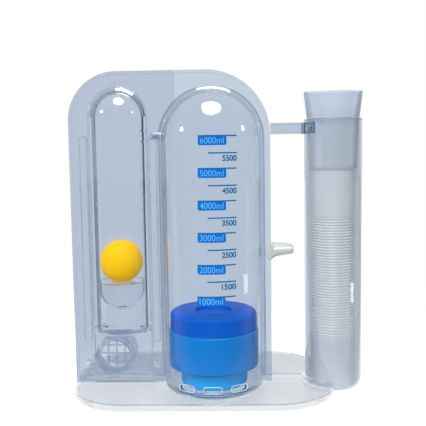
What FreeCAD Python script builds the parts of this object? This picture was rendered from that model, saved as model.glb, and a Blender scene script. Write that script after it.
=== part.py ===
import FreeCAD, Part
import Sketcher
import math
import os

# Volumetric incentive spirometer with a flow ball, a goal pointer and a stored breathing hose.
# Millimetres. +X to the viewer's right, -Y towards the viewer, +Z up.
# The origin lies on the main chamber's axis at table level.

os.makedirs("parts", exist_ok=True)
doc = FreeCAD.newDocument("spirometer")
sheet = doc.addObject("Spreadsheet::Sheet", "Sizes")

# Driving sizes: alias, value in millimetres (counts and angles are plain), what it sets.
SIZES = [
    ("seat_gap", 0.3, "clearance between pieces that are seated on each other"),
    ("pin_gap", 0.15, "clearance of a pin in its hole"),
    ("left_margin", 41.5, "base and housing reach to the left of the float channel axis"),
    ("front_margin", 5.2, "base reach in front of the chamber"),
    ("base_rear", 84.0, "base reach behind the chamber axis"),
    ("base_height", 6.5, "height of the front deck of the base"),
    ("deck_rise", 3.2, "extra height of the rear deck"),
    ("deck_step", 16.5, "distance from the chamber axis back to the deck step"),
    ("base_wall", 2.2, "wall of the base moulding"),
    ("corner_left", 48.0, "plan radius of the two left corners of the base"),
    ("corner_right", 53.5, "plan radius of the two right corners of the base"),
    ("reach_in", 0.3, "distance of the front right corner short of the tube axis"),
    ("reach_rear_in", 8.3, "distance of the rear right corner short of the tube axis"),
    ("lip_width", 2.6, "width of the lip round the tube notch"),
    ("lip_rise", 3.4, "height of the lip above the front deck"),
    ("foot_pad", 30.0, "radius of the solid pad under the chamber"),
    ("parting", 8.0, "parting plane of the housing behind the chamber axis"),
    ("panel_wall", 2.2, "wall of the front panel"),
    ("cover_wall", 2.0, "wall of the rear cover"),
    ("panel_over", 13.2, "height of the panel above the chamber's bead"),
    ("panel_margin", 5.2, "reach of the panel to the right of the chamber's bead"),
    ("arch_left", 41.5, "top left corner radius of the panel"),
    ("arch_right", 54.7, "top right corner radius of the panel"),
    ("rim_width", 2.4, "width of the rim along the panel edge"),
    ("rim_depth", 2.8, "height of the rim in front of the panel"),
    ("chamber_radius", 41.8, "outer radius of the main chamber"),
    ("chamber_wall", 1.9, "wall of the main chamber"),
    ("dome_height", 217.3, "height where the chamber dome starts"),
    ("bead_width", 3.0, "width of the seam bead round the chamber"),
    ("bead_depth", 2.5, "thickness of the seam bead"),
    ("floor_fillet", 4.0, "bottom edge radius of the chamber floor"),
    ("floor_wall", 2.2, "thickness of the chamber floor"),
    ("spigot_rise", 1.4, "height of the floor spigot inside the chamber"),
    ("slot_width", 13.0, "width of an air slot"),
    ("slot_height", 5.4, "height of an air slot"),
    ("slot_level", 15.4, "height of the middle of the air slots"),
    ("slot_angle", 31.0, "angle between neighbouring air slots"),
    ("channel_offset", 37.7, "distance of the float channel axis from the chamber wall"),
    ("channel_radius", 22.0, "outer radius of the float channel"),
    ("channel_wall", 1.8, "wall of the float channel"),
    ("channel_rise", 20.0, "start of the channel dome above the start of the chamber dome"),
    ("flute_width", 7.4, "width of a flute"),
    ("flute_rise", 2.0, "height of a flute in front of the panel"),
    ("flute_low", 42.0, "lower end of the flutes"),
    ("flute_over", 4.7, "upper end of the flutes above the start of the chamber dome"),
    ("flute_offset", 29.7, "flute axis to either side of the channel axis"),
    ("box_reach_left", 27.0, "inlet box reach to the left of the float channel axis"),
    ("box_reach_right", 25.0, "inlet box reach to the right of the float channel axis"),
    ("box_low", 10.5, "lower side of the inlet box"),
    ("box_over", 1.2, "height of the inlet box at its sides over the foot of the float channel"),
    ("box_arch", 60.0, "arch radius of the top of the inlet box"),
    ("box_front", 3.0, "how far the inlet box stands in front of the panel"),
    ("box_rear", 11.0, "depth of the inlet box behind the parting plane"),
    ("passage_rise", 3.2, "middle of the passage above the start of the chamber dome"),
    ("passage_height", 11.0, "outer height of the passage"),
    ("passage_depth", 8.5, "how far the passage stands in front of the parting plane"),
    ("spout_radius", 3.6, "outer radius of the chamber spout in the passage"),
    ("spout_wall", 1.2, "wall of the chamber spout"),
    ("spout_length", 5.4, "length of the chamber spout"),
    ("cover_right", 31.0, "right edge of the rear cover, to the left of the chamber axis"),
    ("port_offset", 5.2, "distance of the port axis to the left of the float channel axis"),
    ("port_level", 33.6, "height of the port axis"),
    ("port_under", 2.9, "outer radius of the hose ribs over that of the hose port"),
    ("port_wall", 1.8, "wall of the hose port"),
    ("port_head", 2.0, "room for the hose between the port and the foot of the float channel"),
    ("port_reach", 20.0, "how far the port stands in front of the parting plane"),
    ("port_step", 0.6, "shoulder between the port and its spigot in the inlet box"),
    ("grille_bar", 1.2, "width of a bar of the port grille"),
    ("grille_pitch", 7.2, "distance between the bars of the port grille"),
    ("grille_depth", 2.0, "thickness of the port grille"),
    ("ball_gap", 1.8, "clearance of the flow ball in the float channel"),
    ("ball_hole", 8.0, "radius of the hole in the ball seat"),
    ("seat_level", 96.6, "height of the top face of the ball seat"),
    ("seat_wall", 1.2, "thickness of the ball seat"),
    ("cup_wall", 1.5, "wall of the ball cup"),
    ("cup_rim", 6.2, "height of the straight rim of the cup"),
    ("cup_vent", 4.0, "radius of the hole in the bottom of the cup"),
    ("piston_bottom", 21.3, "height of the lower edge of the piston skirt at rest"),
    ("piston_gap", 1.7, "clearance of the piston skirt in the chamber"),
    ("skirt_height", 30.4, "height of the piston skirt"),
    ("shoulder_rise", 5.6, "height of the sloping shoulder of the skirt"),
    ("shoulder_in", 1.8, "how far the shoulder slopes inwards"),
    ("piston_wall", 2.0, "wall of the piston pieces"),
    ("lid_in", 0.7, "how far the lid stands back from the skirt"),
    ("lid_height", 20.0, "height of the piston lid"),
    ("lid_well", 15.5, "radius of the well in the lid"),
    ("well_depth", 2.4, "depth of the well in the lid"),
    ("foot_in", 9.8, "how far the foot stands back from the skirt"),
    ("tube_gap", 30.0, "distance between the panel and the storage tube"),
    ("tube_y", 15.0, "storage tube axis behind the chamber axis"),
    ("tube_radius", 24.3, "outer radius of the storage tube"),
    ("tube_wall", 1.4, "wall of the storage tube"),
    ("tube_over", 7.7, "height of the mouth of the storage tube above the strap's middle"),
    ("tube_fillet", 9.5, "bottom edge radius of the storage tube"),
    ("strap_height", 9.4, "height of the strap"),
    ("strap_rise", 8.0, "middle of the strap above the start of the chamber dome"),
    ("strap_thick", 2.8, "thickness of the strap"),
    ("clip_thick", 2.4, "thickness of the strap clip"),
    ("clip_reach", 5.0, "how far the clip reaches past the strap"),
    ("button_radius", 2.6, "radius of the snap button"),
    ("button_angle", 29.0, "angle of the snap button on the tube"),
    ("button_rise", 0.8, "how far the snap button stands out of the clip"),
    ("hose_room", 5.2, "outer radius of the storage tube over that of the hose ribs"),
    ("hose_wall", 1.6, "wall of the hose ends"),
    ("rib_depth", 0.95, "depth of the hose ribs"),
    ("rib_pitch", 2.38, "distance between the hose ribs"),
    ("rib_count", 43, "number of hose ribs"),
    ("cuff_low", 44.8, "length of the smooth lower end of the hose"),
    ("cuff_grip", 20.0, "depth of the bore in the lower end that fits over the port"),
    ("port_fit", 0.3, "clearance of the hose on the port"),
    ("hose_drop", 39.0, "distance of the hose end below the mouth of the storage tube"),
    ("mouth_rise", 24.4, "height of the mouthpiece above the storage tube"),
    ("mouth_flare", 3.1, "half width of the mouthpiece at the top over that at the tube's mouth"),
    ("mouth_half_depth", 12.6, "half depth of the mouthpiece at the top"),
    ("mouth_wall", 1.5, "wall of the mouthpiece"),
    ("socket_length", 13.0, "length of the socket of the mouthpiece"),
    ("socket_step", 0.4, "step between the round socket and the flared body of the mouthpiece"),
    ("neck_gap", 0.4, "clearance of the mouthpiece in the mouth of the storage tube"),
    ("neck_flat", 4.0, "half width of the mouthpiece over its half depth at the tube's mouth"),
    ("pointer_level", 121.4, "height of the middle of the pointer at rest"),
    ("pointer_gap", 0.3, "running clearance of the pointer on the panel"),
    ("jaw_thick", 2.4, "thickness of the pointer jaws"),
    ("pointer_height", 17.0, "height of the pointer jaws"),
    ("tab_length", 18.6, "length of the finger tab"),
    ("tab_height", 8.2, "height of the finger tab"),
    ("tab_depth", 7.0, "depth of the finger tab"),
    ("pin_radius", 1.1, "radius of the upper joining pins"),
    ("stud_radius", 3.2, "radius of the lower joining studs"),
    ("stud_offset", 4.8, "distance of the studs from the side of the inlet box"),
    ("pin_upper", 163.1, "height of the upper joining pins"),
    ("pin_middle", 72.4, "height of the left middle joining pin"),
    ("pin_shift", 3.0, "height of the right middle pin above the left one"),
    ("stud_level", 22.9, "height of the lower joining studs"),
]

for row, (alias, value, note) in enumerate(SIZES, start=1):
    sheet.set("A%d" % row, note)
    sheet.set("B%d" % row, str(value))
    sheet.setAlias("B%d" % row, alias)
doc.recompute()


class Size:
    """A number together with the sheet expression that gives it."""

    def __init__(self, value, text):
        self.value = float(value)
        self.text = text

    def __add__(self, other):
        other = size(other)
        return Size(self.value + other.value, "(%s + %s)" % (self.text, other.text))

    def __radd__(self, other):
        return size(other) + self

    def __sub__(self, other):
        other = size(other)
        return Size(self.value - other.value, "(%s - %s)" % (self.text, other.text))

    def __rsub__(self, other):
        return size(other) - self

    def __mul__(self, other):
        other = size(other)
        return Size(self.value * other.value, "(%s * %s)" % (self.text, other.text))

    def __rmul__(self, other):
        return size(other) * self

    def __truediv__(self, other):
        other = size(other)
        return Size(self.value / other.value, "(%s / %s)" % (self.text, other.text))

    def __neg__(self):
        return Size(-self.value, "(0 - %s)" % self.text)


def size(value):
    """Turn a plain number into a Size."""
    if isinstance(value, Size):
        return value
    return Size(value, repr(float(value)))


def root(value):
    """Square root of a Size."""
    return Size(math.sqrt(value.value), "sqrt(%s)" % value.text)


def cell(alias):
    """The Size that a sheet cell holds."""
    return Size(sheet.get(alias), "Sizes.%s" % alias)


S = {alias: cell(alias) for alias, value, note in SIZES}

# Sizes and places that follow from the driving ones.
S["channel_x"] = S["chamber_radius"] + S["channel_offset"]
S["base_left"] = S["channel_x"] + S["left_margin"]
S["base_front"] = S["chamber_radius"] + S["front_margin"]
S["box_left"] = S["channel_x"] + S["box_reach_left"]
S["box_right"] = S["channel_x"] - S["box_reach_right"]
S["port_x"] = S["channel_x"] + S["port_offset"]
S["hose_radius"] = S["tube_radius"] - S["hose_room"]
S["port_radius"] = S["hose_radius"] - S["port_under"]
S["panel_right"] = S["chamber_radius"] + S["bead_width"] + S["panel_margin"]
S["panel_top"] = S["dome_height"] + S["chamber_radius"] + S["bead_width"] + S["panel_over"]
S["channel_foot"] = S["port_level"] + S["port_radius"] + S["port_head"]
S["box_side"] = S["channel_foot"] + S["box_over"]
S["channel_dome"] = S["dome_height"] + S["channel_rise"]
S["passage_level"] = S["dome_height"] + S["passage_rise"]
S["flute_high"] = S["dome_height"] + S["flute_over"]
S["strap_level"] = S["dome_height"] + S["strap_rise"]
S["skirt_radius"] = S["chamber_radius"] - S["chamber_wall"] - S["piston_gap"]
S["lid_radius"] = S["skirt_radius"] - S["lid_in"]
S["foot_radius"] = S["skirt_radius"] - S["foot_in"]
S["ball_radius"] = S["channel_radius"] - S["channel_wall"] - S["ball_gap"]
S["tube_x"] = S["panel_right"] + S["tube_gap"] + S["tube_radius"]
S["tube_top"] = S["strap_level"] + S["tube_over"]
S["reach_right"] = S["tube_x"] - S["reach_in"]
S["reach_rear_right"] = S["tube_x"] - S["reach_rear_in"]
S["mouth_top"] = S["tube_top"] + S["mouth_rise"]
S["neck_half"] = S["tube_radius"] - S["tube_wall"] - S["neck_gap"]
S["neck_half_depth"] = S["neck_half"] - S["neck_flat"]
S["mouth_half"] = S["neck_half"] + S["mouth_flare"]
S["beyond"] = S["panel_top"] * 2


def bind(obj, prop, value):
    """Bind a property to the sheet."""
    obj.setExpression(prop, size(value).text)


def place(obj, x=0, y=0, z=0):
    """Bind the position of an object."""
    for axis, value in (("x", x), ("y", y), ("z", z)):
        bind(obj, "Placement.Base." + axis, value)
    return obj


UP = FreeCAD.Rotation()
ALONG_X = FreeCAD.Rotation(FreeCAD.Vector(0, 1, 0), 90)
ALONG_Y = FreeCAD.Rotation(FreeCAD.Vector(1, 0, 0), -90)


def turned(obj, rotation):
    obj.Placement = FreeCAD.Placement(FreeCAD.Vector(), rotation)
    return obj


def box(name, length, width, height, x, y, z):
    """A box from its low corner."""
    obj = doc.addObject("Part::Box", name)
    bind(obj, "Length", length)
    bind(obj, "Width", width)
    bind(obj, "Height", height)
    return place(obj, x, y, z)


def rod(name, radius, length, x, y, z, rotation=UP):
    """A cylinder from the middle of its low end."""
    obj = turned(doc.addObject("Part::Cylinder", name), rotation)
    bind(obj, "Radius", radius)
    bind(obj, "Height", length)
    return place(obj, x, y, z)


def ball(name, radius, x, y, z):
    obj = doc.addObject("Part::Sphere", name)
    bind(obj, "Radius", radius)
    return place(obj, x, y, z)


def cut(name, base, *tools):
    """Base less the tools."""
    tool = tools[0] if len(tools) == 1 else fuse(name + "_tools", *tools)
    obj = doc.addObject("Part::Cut", name)
    obj.Base = base
    obj.Tool = tool
    return obj


def fuse(name, *shapes):
    obj = doc.addObject("Part::MultiFuse", name)
    obj.Shapes = list(shapes)
    obj.Refine = True
    return obj


def common(name, first, second):
    obj = doc.addObject("Part::MultiCommon", name)
    obj.Shapes = [first, second]
    return obj


def draw(body, name, role, corners):
    """Closed sketch on an origin plane. A corner is (x, y) or (x, y, radius of the arc that
    leads to it, +1 when the arc turns to the left)."""
    sketch = body.newObject("Sketcher::SketchObject", name)
    plane = [f for f in body.Origin.OriginFeatures if f.Role == role][0]
    sketch.AttachmentSupport = [(plane, "")]
    sketch.MapMode = "FlatFace"
    points = [FreeCAD.Vector(size(c[0]).value, size(c[1]).value, 0) for c in corners]
    ends = []
    for index, corner in enumerate(corners):
        start = points[index - 1]
        end = points[index]
        if len(corner) == 2:
            sketch.addGeometry(Part.LineSegment(start, end), False)
            ends.append((1, 2))
            continue
        radius = size(corner[2]).value
        chord = end - start
        rise = math.sqrt(max(radius ** 2 - (chord.Length / 2) ** 2, 0))
        side = FreeCAD.Vector(-chord.y, chord.x, 0).normalize() * corner[3]
        centre = start + chord * 0.5 + side * rise
        first, last = (start, end) if corner[3] > 0 else (end, start)
        low = math.atan2(first.y - centre.y, first.x - centre.x)
        high = math.atan2(last.y - centre.y, last.x - centre.x)
        if high < low:
            high += 2 * math.pi
        circle = Part.Circle(centre, FreeCAD.Vector(0, 0, 1), radius)
        sketch.addGeometry(Part.ArcOfCircle(circle, low, high), False)
        ends.append((1, 2) if corner[3] > 0 else (2, 1))
    rules = Sketcher.Constraint
    for index, corner in enumerate(corners):
        following = (index + 1) % len(corners)
        sketch.addConstraint(rules("Coincident", index, ends[index][1], following, ends[following][0]))
        for kind, value in (("DistanceX", size(corner[0])), ("DistanceY", size(corner[1]))):
            if value.value == 0:
                axis = -2 if kind == "DistanceX" else -1
                sketch.addConstraint(rules("PointOnObject", index, ends[index][1], axis))
            else:
                number = sketch.addConstraint(rules(kind, -1, 1, index, ends[index][1], value.value))
                sketch.setExpression("Constraints[%d]" % number, value.text)
        if len(corner) == 2:
            continue
        radius = size(corner[2])
        chord = (points[index] - points[index - 1]).Length
        if chord > 1.999 * radius.value:
            sketch.addConstraint(rules("Horizontal", index, 3, index, 1))
        else:
            number = sketch.addConstraint(rules("Radius", index, radius.value))
            sketch.setExpression("Constraints[%d]" % number, radius.text)
    return sketch


def turn(name, corners, x=0, y=0, z=0):
    """A body made by turning a profile of (radius, height) corners about a vertical axis."""
    body = doc.addObject("PartDesign::Body", name)
    sketch = draw(body, name + "_profile", "XZ_Plane", corners)
    feature = body.newObject("PartDesign::Revolution", name + "_turned")
    feature.Profile = sketch
    feature.ReferenceAxis = (sketch, ["V_Axis"])
    feature.Angle = 360
    sketch.Visibility = False
    return place(body, x, y, z)


def slab(name, role, corners, depth, x=0, y=0, z=0, flip=False):
    """A body made by padding a closed outline."""
    body = doc.addObject("PartDesign::Body", name)
    sketch = draw(body, name + "_outline", role, corners)
    feature = body.newObject("PartDesign::Pad", name + "_pad")
    feature.Profile = sketch
    feature.Reversed = flip
    bind(feature, "Length", depth)
    sketch.Visibility = False
    return place(body, x, y, z)


NODES = []


def node(label, obj):
    """Name an object as a finished piece."""
    obj.Label = label
    NODES.append(obj)
    return obj


def base_outline(inset):
    """Plan of the base, drawn inwards by the inset."""
    left = inset - S["base_left"]
    front = inset - S["base_front"]
    rear = S["base_rear"] - inset
    small = S["corner_left"] - inset
    large = S["corner_right"] - inset
    right = S["reach_right"] - inset
    rear_right = S["reach_rear_right"] - inset
    return [
        (left + small, front),
        (right - large, front),
        (right, front + large, large, 1),
        (rear_right, rear - large),
        (rear_right - large, rear, large, 1),
        (left + small, rear),
        (left, rear - small, small, 1),
        (left, front + small),
        (left + small, front, small, 1),
    ][1:]


def base_plate():
    """Open-bottomed base with a raised rear deck, a notch for the tube and a lip round it."""
    top = S["base_height"]
    deck = top + S["deck_rise"]
    wall = S["base_wall"]
    notch = S["tube_radius"] + S["seat_gap"]
    span = S["base_left"] + S["reach_right"]
    depth = S["base_rear"] + S["base_front"]
    front = slab("base_front_deck", "XY_Plane", base_outline(size(0)), top)
    full = slab("base_full", "XY_Plane", base_outline(size(0)), deck)
    behind = box("base_behind", span, depth, deck, -S["base_left"], S["deck_step"], 0)
    rear = common("base_rear_deck", full, behind)
    lip_full = slab("base_lip_full", "XY_Plane", base_outline(size(0)), top + S["lip_rise"])
    lip_rod = rod("base_lip_rod", notch + S["lip_width"], top + S["lip_rise"], S["tube_x"], S["tube_y"], 0)
    lip = common("base_lip", lip_full, lip_rod)
    nub = rod("base_nub", 1.8, top + S["lip_rise"] + 1.6,
              S["tube_x"] - 9.0, S["tube_y"] - root((notch + 2.1) * (notch + 2.1) - 81.0), 0)
    solid = fuse("base_solid", front, rear, lip, nub)
    hollow_low = slab("base_hollow_low", "XY_Plane", base_outline(wall), top - wall)
    hollow_high = slab("base_hollow_high", "XY_Plane", base_outline(wall), deck - wall)
    behind_in = box("base_behind_in", span, depth, deck, -S["base_left"], S["deck_step"] + wall, 0)
    hollow_rear = common("base_hollow_rear", hollow_high, behind_in)
    recess = S["chamber_radius"] + S["seat_gap"]
    keep_wall = rod("base_keep_wall", recess + wall, deck + 2, 0, 0, -1)
    hollow_rear = cut("base_hollow_behind", hollow_rear, keep_wall)
    keep = rod("base_keep", notch + S["lip_width"], deck + 2, S["tube_x"], S["tube_y"], -1)
    pad = rod("base_pad_keep", S["foot_pad"], deck + 2, 0, 0, -1)
    hollow = cut("base_hollow", fuse("base_hollow_both", hollow_low, hollow_rear), keep, pad)
    bore = rod("base_notch", notch, 40, S["tube_x"], S["tube_y"], -5)
    chamber_recess = rod("base_chamber_recess", recess, 20, 0, 0, top)
    return node("base_plate", cut("base_plate_cut", solid, hollow, bore, chamber_recess))


def panel_outline(inset, left, right, low, arch_left, arch_right):
    """Arch outline of the panel in x and z, drawn inwards by the inset."""
    top = S["panel_top"] - inset
    low = low + inset
    left = left + inset
    right = right - inset
    small = arch_left - inset
    corners = [(right, low)]
    if arch_right is None:
        corners.append((right, top))
    else:
        large = arch_right - inset
        corners.append((right, top - large))
        corners.append((right - large, top, large, 1))
    corners.append((left + small, top))
    corners.append((left, top - small, small, 1))
    corners.append((left, low))
    return corners


def arch_rod(name, radius, low, spring, y, depth):
    """Arch shape round the chamber axis, padded towards -Y from the given depth."""
    corners = [
        (radius, low),
        (radius, spring),
        (-radius, spring, radius, 1),
        (-radius, low),
    ]
    return slab(name, "XZ_Plane", corners, depth, 0, y, 0)


def channel_space(name, radius, low):
    """Cylinder and dome on the float channel axis."""
    x = -S["channel_x"]
    y = S["parting"]
    column = rod(name + "_column", radius, S["channel_dome"] - low, x, y, low)
    dome = ball(name + "_dome", radius, x, y, S["channel_dome"])
    return fuse(name, column, dome)


def box_outline(inset):
    """Outline of the inlet box in x and z, with an arched top."""
    left = inset - S["box_left"]
    right = -S["box_right"] - inset
    low = S["box_low"] + inset
    side = S["box_side"] - inset
    return [
        (right, low),
        (right, side),
        (left, side, S["box_arch"], 1),
        (left, low),
    ]


def flute(name, x):
    """Raised flute with round ends."""
    radius = S["flute_width"] / 2
    low = S["flute_low"] + radius
    high = S["flute_high"] - radius
    front = S["parting"] - S["panel_wall"] - S["flute_rise"]
    corners = [
        (radius, low),
        (radius, high),
        (-radius, high, radius, 1),
        (-radius, low),
        (radius, low, radius, 1),
    ][1:]
    return slab(name, "XZ_Plane", corners, S["flute_rise"] + S["panel_wall"] / 2,
                x, front, 0, flip=True)


def pin_places():
    """Joining pins: name, x, z, radius."""
    left = -S["channel_x"] - S["flute_offset"]
    right = -S["channel_x"] + S["flute_offset"]
    return [
        ("pin_upper_left", left, S["pin_upper"], S["pin_radius"]),
        ("pin_upper_right", right, S["pin_upper"], S["pin_radius"]),
        ("pin_middle_left", left, S["pin_middle"], S["pin_radius"]),
        ("pin_middle_right", right, S["pin_middle"] + S["pin_shift"], S["pin_radius"]),
        ("stud_lower_left", -S["box_left"] - S["stud_offset"], S["stud_level"], S["stud_radius"]),
        ("stud_lower_right", S["stud_offset"] - S["box_right"], S["stud_level"], S["stud_radius"]),
    ]


def front_panel():
    """Front half of the housing: panel, rim, float channel, inlet box, passage and flutes."""
    low = S["base_height"] + S["seat_gap"]
    face = S["parting"] - S["panel_wall"]
    left = -S["base_left"]
    right = S["panel_right"]
    gap = S["seat_gap"]
    rim = S["rim_width"]
    whole = panel_outline(size(0), left, right, low, S["arch_left"], S["arch_right"])
    inner = panel_outline(rim, left, right, low, S["arch_left"], S["arch_right"])
    plate = slab("panel_plate", "XZ_Plane", whole, S["panel_wall"], 0, S["parting"], 0)
    rim_full = slab("panel_rim_full", "XZ_Plane", whole, S["rim_depth"] + S["panel_wall"] / 2,
                    0, face + S["panel_wall"] / 2, 0)
    rim_space = slab("panel_rim_space", "XZ_Plane", inner, S["rim_depth"] * 3,
                     0, face + S["rim_depth"], 0)
    edge = cut("panel_rim", rim_full, rim_space)
    channel_low = S["channel_foot"]
    beyond = S["beyond"]
    half = box("panel_behind", beyond, beyond, beyond, -beyond / 2, S["parting"], -beyond / 4)
    channel_full = channel_space("panel_channel_full", S["channel_radius"], channel_low)
    channel = cut("panel_channel", channel_full, half)
    inlet = slab("panel_box", "XZ_Plane", box_outline(size(0)), S["panel_wall"] + S["box_front"],
                 0, S["parting"], 0)
    passage_left = -S["channel_x"]
    passage_right = -S["chamber_radius"] - S["bead_width"] - gap
    passage_low = S["passage_level"] - S["passage_height"] / 2
    passage = box("panel_passage", passage_right - passage_left, S["passage_depth"], S["passage_height"],
                  passage_left, S["parting"] - S["passage_depth"], passage_low)
    flutes = [flute("panel_flute_left", -S["channel_x"] - S["flute_offset"]),
              flute("panel_flute_right", -S["channel_x"] + S["flute_offset"])]
    solid = fuse("panel_solid", plate, edge, channel, inlet, passage, *flutes)
    bore = channel_space("panel_channel_bore", S["channel_radius"] - S["channel_wall"],
                         channel_low + S["channel_wall"])
    wall = S["panel_wall"]
    inlet_hollow = slab("panel_box_space", "XZ_Plane", box_outline(wall), S["box_front"] + 1,
                        0, S["parting"] + 1, 0)
    channel_wall = S["channel_wall"]
    passage_space = box("panel_passage_space", passage_right - passage_left - channel_wall,
                        S["passage_depth"] - channel_wall + 1, S["passage_height"] - 2 * channel_wall,
                        passage_left, S["parting"] - S["passage_depth"] + channel_wall,
                        passage_low + channel_wall)
    chamber_hole = arch_rod("panel_chamber_hole", S["chamber_radius"] + gap, size(-5), S["dome_height"],
                            S["parting"] + 5, size(40))
    bead_room = arch_rod("panel_bead_room", S["chamber_radius"] + S["bead_width"] + gap, size(-5),
                         S["dome_height"], face, size(40))
    port_hole = rod("panel_port_hole", S["port_radius"] - S["port_step"] + gap, 60,
                    -S["port_x"], -40, S["port_level"], ALONG_Y)
    spout_hole = rod("panel_spout_hole", S["spout_radius"] + gap, 12, passage_right - 6,
                     spout_y(), S["passage_level"], ALONG_X)
    pins = [rod(name + "_hole", radius + S["pin_gap"], 40, x, -10, z, ALONG_Y)
            for name, x, z, radius in pin_places()]
    return node("front_panel", cut("panel_cut", solid, bore, inlet_hollow, passage_space, chamber_hole,
                                   bead_room, port_hole, spout_hole, *pins))


def spout_y():
    """Depth of the middle of the passage."""
    return S["parting"] - S["passage_depth"] / 2


def rear_cover():
    """Rear half of the float channel side."""
    low = S["base_height"] + S["seat_gap"]
    gap = S["seat_gap"]
    y = S["parting"] + gap
    wall = S["cover_wall"]
    outline = panel_outline(size(0), -S["base_left"], -S["cover_right"], low, S["arch_left"], None)
    plate = slab("cover_plate", "XZ_Plane", outline, wall, 0, y + wall, 0)
    beyond = S["beyond"]
    front = box("cover_front", beyond, beyond, beyond, -beyond / 2, y - beyond, -beyond / 4)
    channel_full = channel_space("cover_channel_full", S["channel_radius"], S["channel_foot"])
    channel = cut("cover_channel", channel_full, front)
    depth = S["box_rear"]
    inlet = slab("cover_box", "XZ_Plane", box_outline(size(0)), depth, 0, y + depth, 0)
    solid = fuse("cover_solid", plate, channel, inlet)
    bore = channel_space("cover_channel_bore", S["channel_radius"] - S["channel_wall"],
                         S["channel_foot"] + S["channel_wall"])
    space = slab("cover_box_space", "XZ_Plane", box_outline(wall), depth - wall + 1,
                 0, y + depth - wall, 0)
    chamber_hole = arch_rod("cover_chamber_hole", S["chamber_radius"] + gap, size(-5), S["dome_height"],
                            S["parting"] + 40, size(60))
    deck = box("cover_deck", beyond, beyond, S["base_height"] + S["deck_rise"] + gap + 5, -beyond / 2,
               S["deck_step"] - gap, -5)
    pins = [rod(name + "_seat", radius + S["pin_gap"], 40, x, -10, z, ALONG_Y)
            for name, x, z, radius in pin_places()]
    return node("rear_cover", cut("cover_cut", solid, bore, space, chamber_hole, deck, *pins))


def main_chamber():
    """Round chamber with a dome, a seam bead, a spout into the passage and air slots."""
    radius = S["chamber_radius"]
    inside = radius - S["chamber_wall"]
    low = chamber_low()
    spring = S["dome_height"]
    shell = turn("chamber_shell", [
        (size(0), low),
        (radius, low),
        (radius, spring),
        (size(0), spring + radius, radius, 1),
    ])
    room = turn("chamber_room", [
        (size(0), low - 1),
        (inside, low - 1),
        (inside, spring),
        (size(0), spring + inside, inside, 1),
    ])
    bead_y = S["parting"] - S["panel_wall"] - S["seat_gap"]
    bead = arch_rod("chamber_bead", radius + S["bead_width"], low, spring, bead_y, S["bead_depth"])
    spout = rod("chamber_spout", S["spout_radius"], S["spout_length"] + S["bead_width"] + 3,
                -radius - S["bead_width"] - S["spout_length"], spout_y(), S["passage_level"], ALONG_X)
    solid = fuse("chamber_solid", shell, bead, spout)
    spout_bore = rod("chamber_spout_bore", S["spout_radius"] - S["spout_wall"], 40, -70, spout_y(),
                     S["passage_level"], ALONG_X)
    slots = [slot("chamber_slot_%d" % index, side, turn_by)
             for index, (side, turn_by) in enumerate(
                 [(side, turn_by) for side in (0, 180) for turn_by in (-1, 0, 1)])]
    return node("main_chamber", cut("chamber_cut", solid, room, spout_bore, *slots))


def chamber_low():
    """Height of the lower edge of the chamber wall."""
    return S["base_height"] + S["seat_gap"] * 2 + S["floor_fillet"]


def slot(name, side, turn_by):
    """Rounded air slot through the chamber wall, turned about the chamber axis."""
    half = S["slot_width"] / 2
    radius = S["slot_height"] / 2 - 0.05
    flat = S["slot_height"] / 2
    corners = [
        (half - radius, -flat),
        (half, radius - flat, radius, 1),
        (half, flat - radius),
        (half - radius, flat, radius, 1),
        (radius - half, flat),
        (-half, flat - radius, radius, 1),
        (-half, radius - flat),
        (radius - half, -flat, radius, 1),
    ]
    tool = slab(name, "XZ_Plane", corners, S["chamber_radius"] + 10, 0, 0, S["slot_level"])
    angle = side + S["slot_angle"] * turn_by
    turned_to = size(angle)
    tool.Placement.Rotation = FreeCAD.Rotation(FreeCAD.Vector(0, 0, 1), turned_to.value)
    bind(tool, "Placement.Rotation.Angle", turned_to)
    return tool


def chamber_floor():
    """Clear floor with a rounded edge that closes the chamber."""
    low = S["base_height"] + S["seat_gap"]
    radius = S["chamber_radius"]
    fillet = S["floor_fillet"]
    spigot = radius - S["chamber_wall"] - S["seat_gap"]
    top = low + fillet
    return node("chamber_floor", turn("floor_body", [
        (size(0), low),
        (radius - fillet, low),
        (radius, top, fillet, 1),
        (spigot, top),
        (spigot, top + S["spigot_rise"]),
        (spigot - 1.4, top + S["spigot_rise"]),
        (spigot - 1.4, low + S["floor_wall"]),
        (size(0), low + S["floor_wall"]),
    ]))


def piston():
    """Lid, skirt and foot of the piston."""
    wall = S["piston_wall"]
    low = S["piston_bottom"]
    radius = S["skirt_radius"]
    high = low + S["skirt_height"]
    neck = radius - S["shoulder_in"]
    gap = S["seat_gap"]
    skirt = turn("skirt_body", [
        (radius - wall, low),
        (radius, low),
        (radius, high - S["shoulder_rise"]),
        (neck, high),
        (size(0), high),
        (size(0), high - wall),
        (neck - wall, high - wall),
        (radius - wall, high - S["shoulder_rise"]),
    ])
    node("piston_skirt", skirt)
    lid_low = high + gap
    lid_top = lid_low + S["lid_height"]
    lid = S["lid_radius"]
    well = S["lid_well"]
    node("piston_lid", turn("lid_body", [
        (lid - wall, lid_low),
        (lid, lid_low),
        (lid, lid_top - 0.8),
        (lid - 0.8, lid_top, size(0.8), 1),
        (well + 1.0, lid_top),
        (well, lid_top - S["well_depth"]),
        (size(0), lid_top - S["well_depth"]),
        (size(0), lid_top - S["well_depth"] - wall),
        (well + 1.0, lid_top - S["well_depth"] - wall),
        (well + 2.0, lid_top - wall),
        (lid - wall, lid_top - wall),
    ]))
    foot_low = S["base_height"] + gap + S["floor_wall"] + gap
    foot = S["foot_radius"]
    foot_top = high - wall - gap
    node("piston_foot", turn("foot_body", [
        (size(0), foot_low),
        (foot - 3.0, foot_low),
        (foot, foot_low + 3.0, size(3.0), 1),
        (foot, foot_top),
        (foot - wall, foot_top),
        (foot - wall, foot_low + wall),
        (size(0), foot_low + wall),
    ]))


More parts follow.
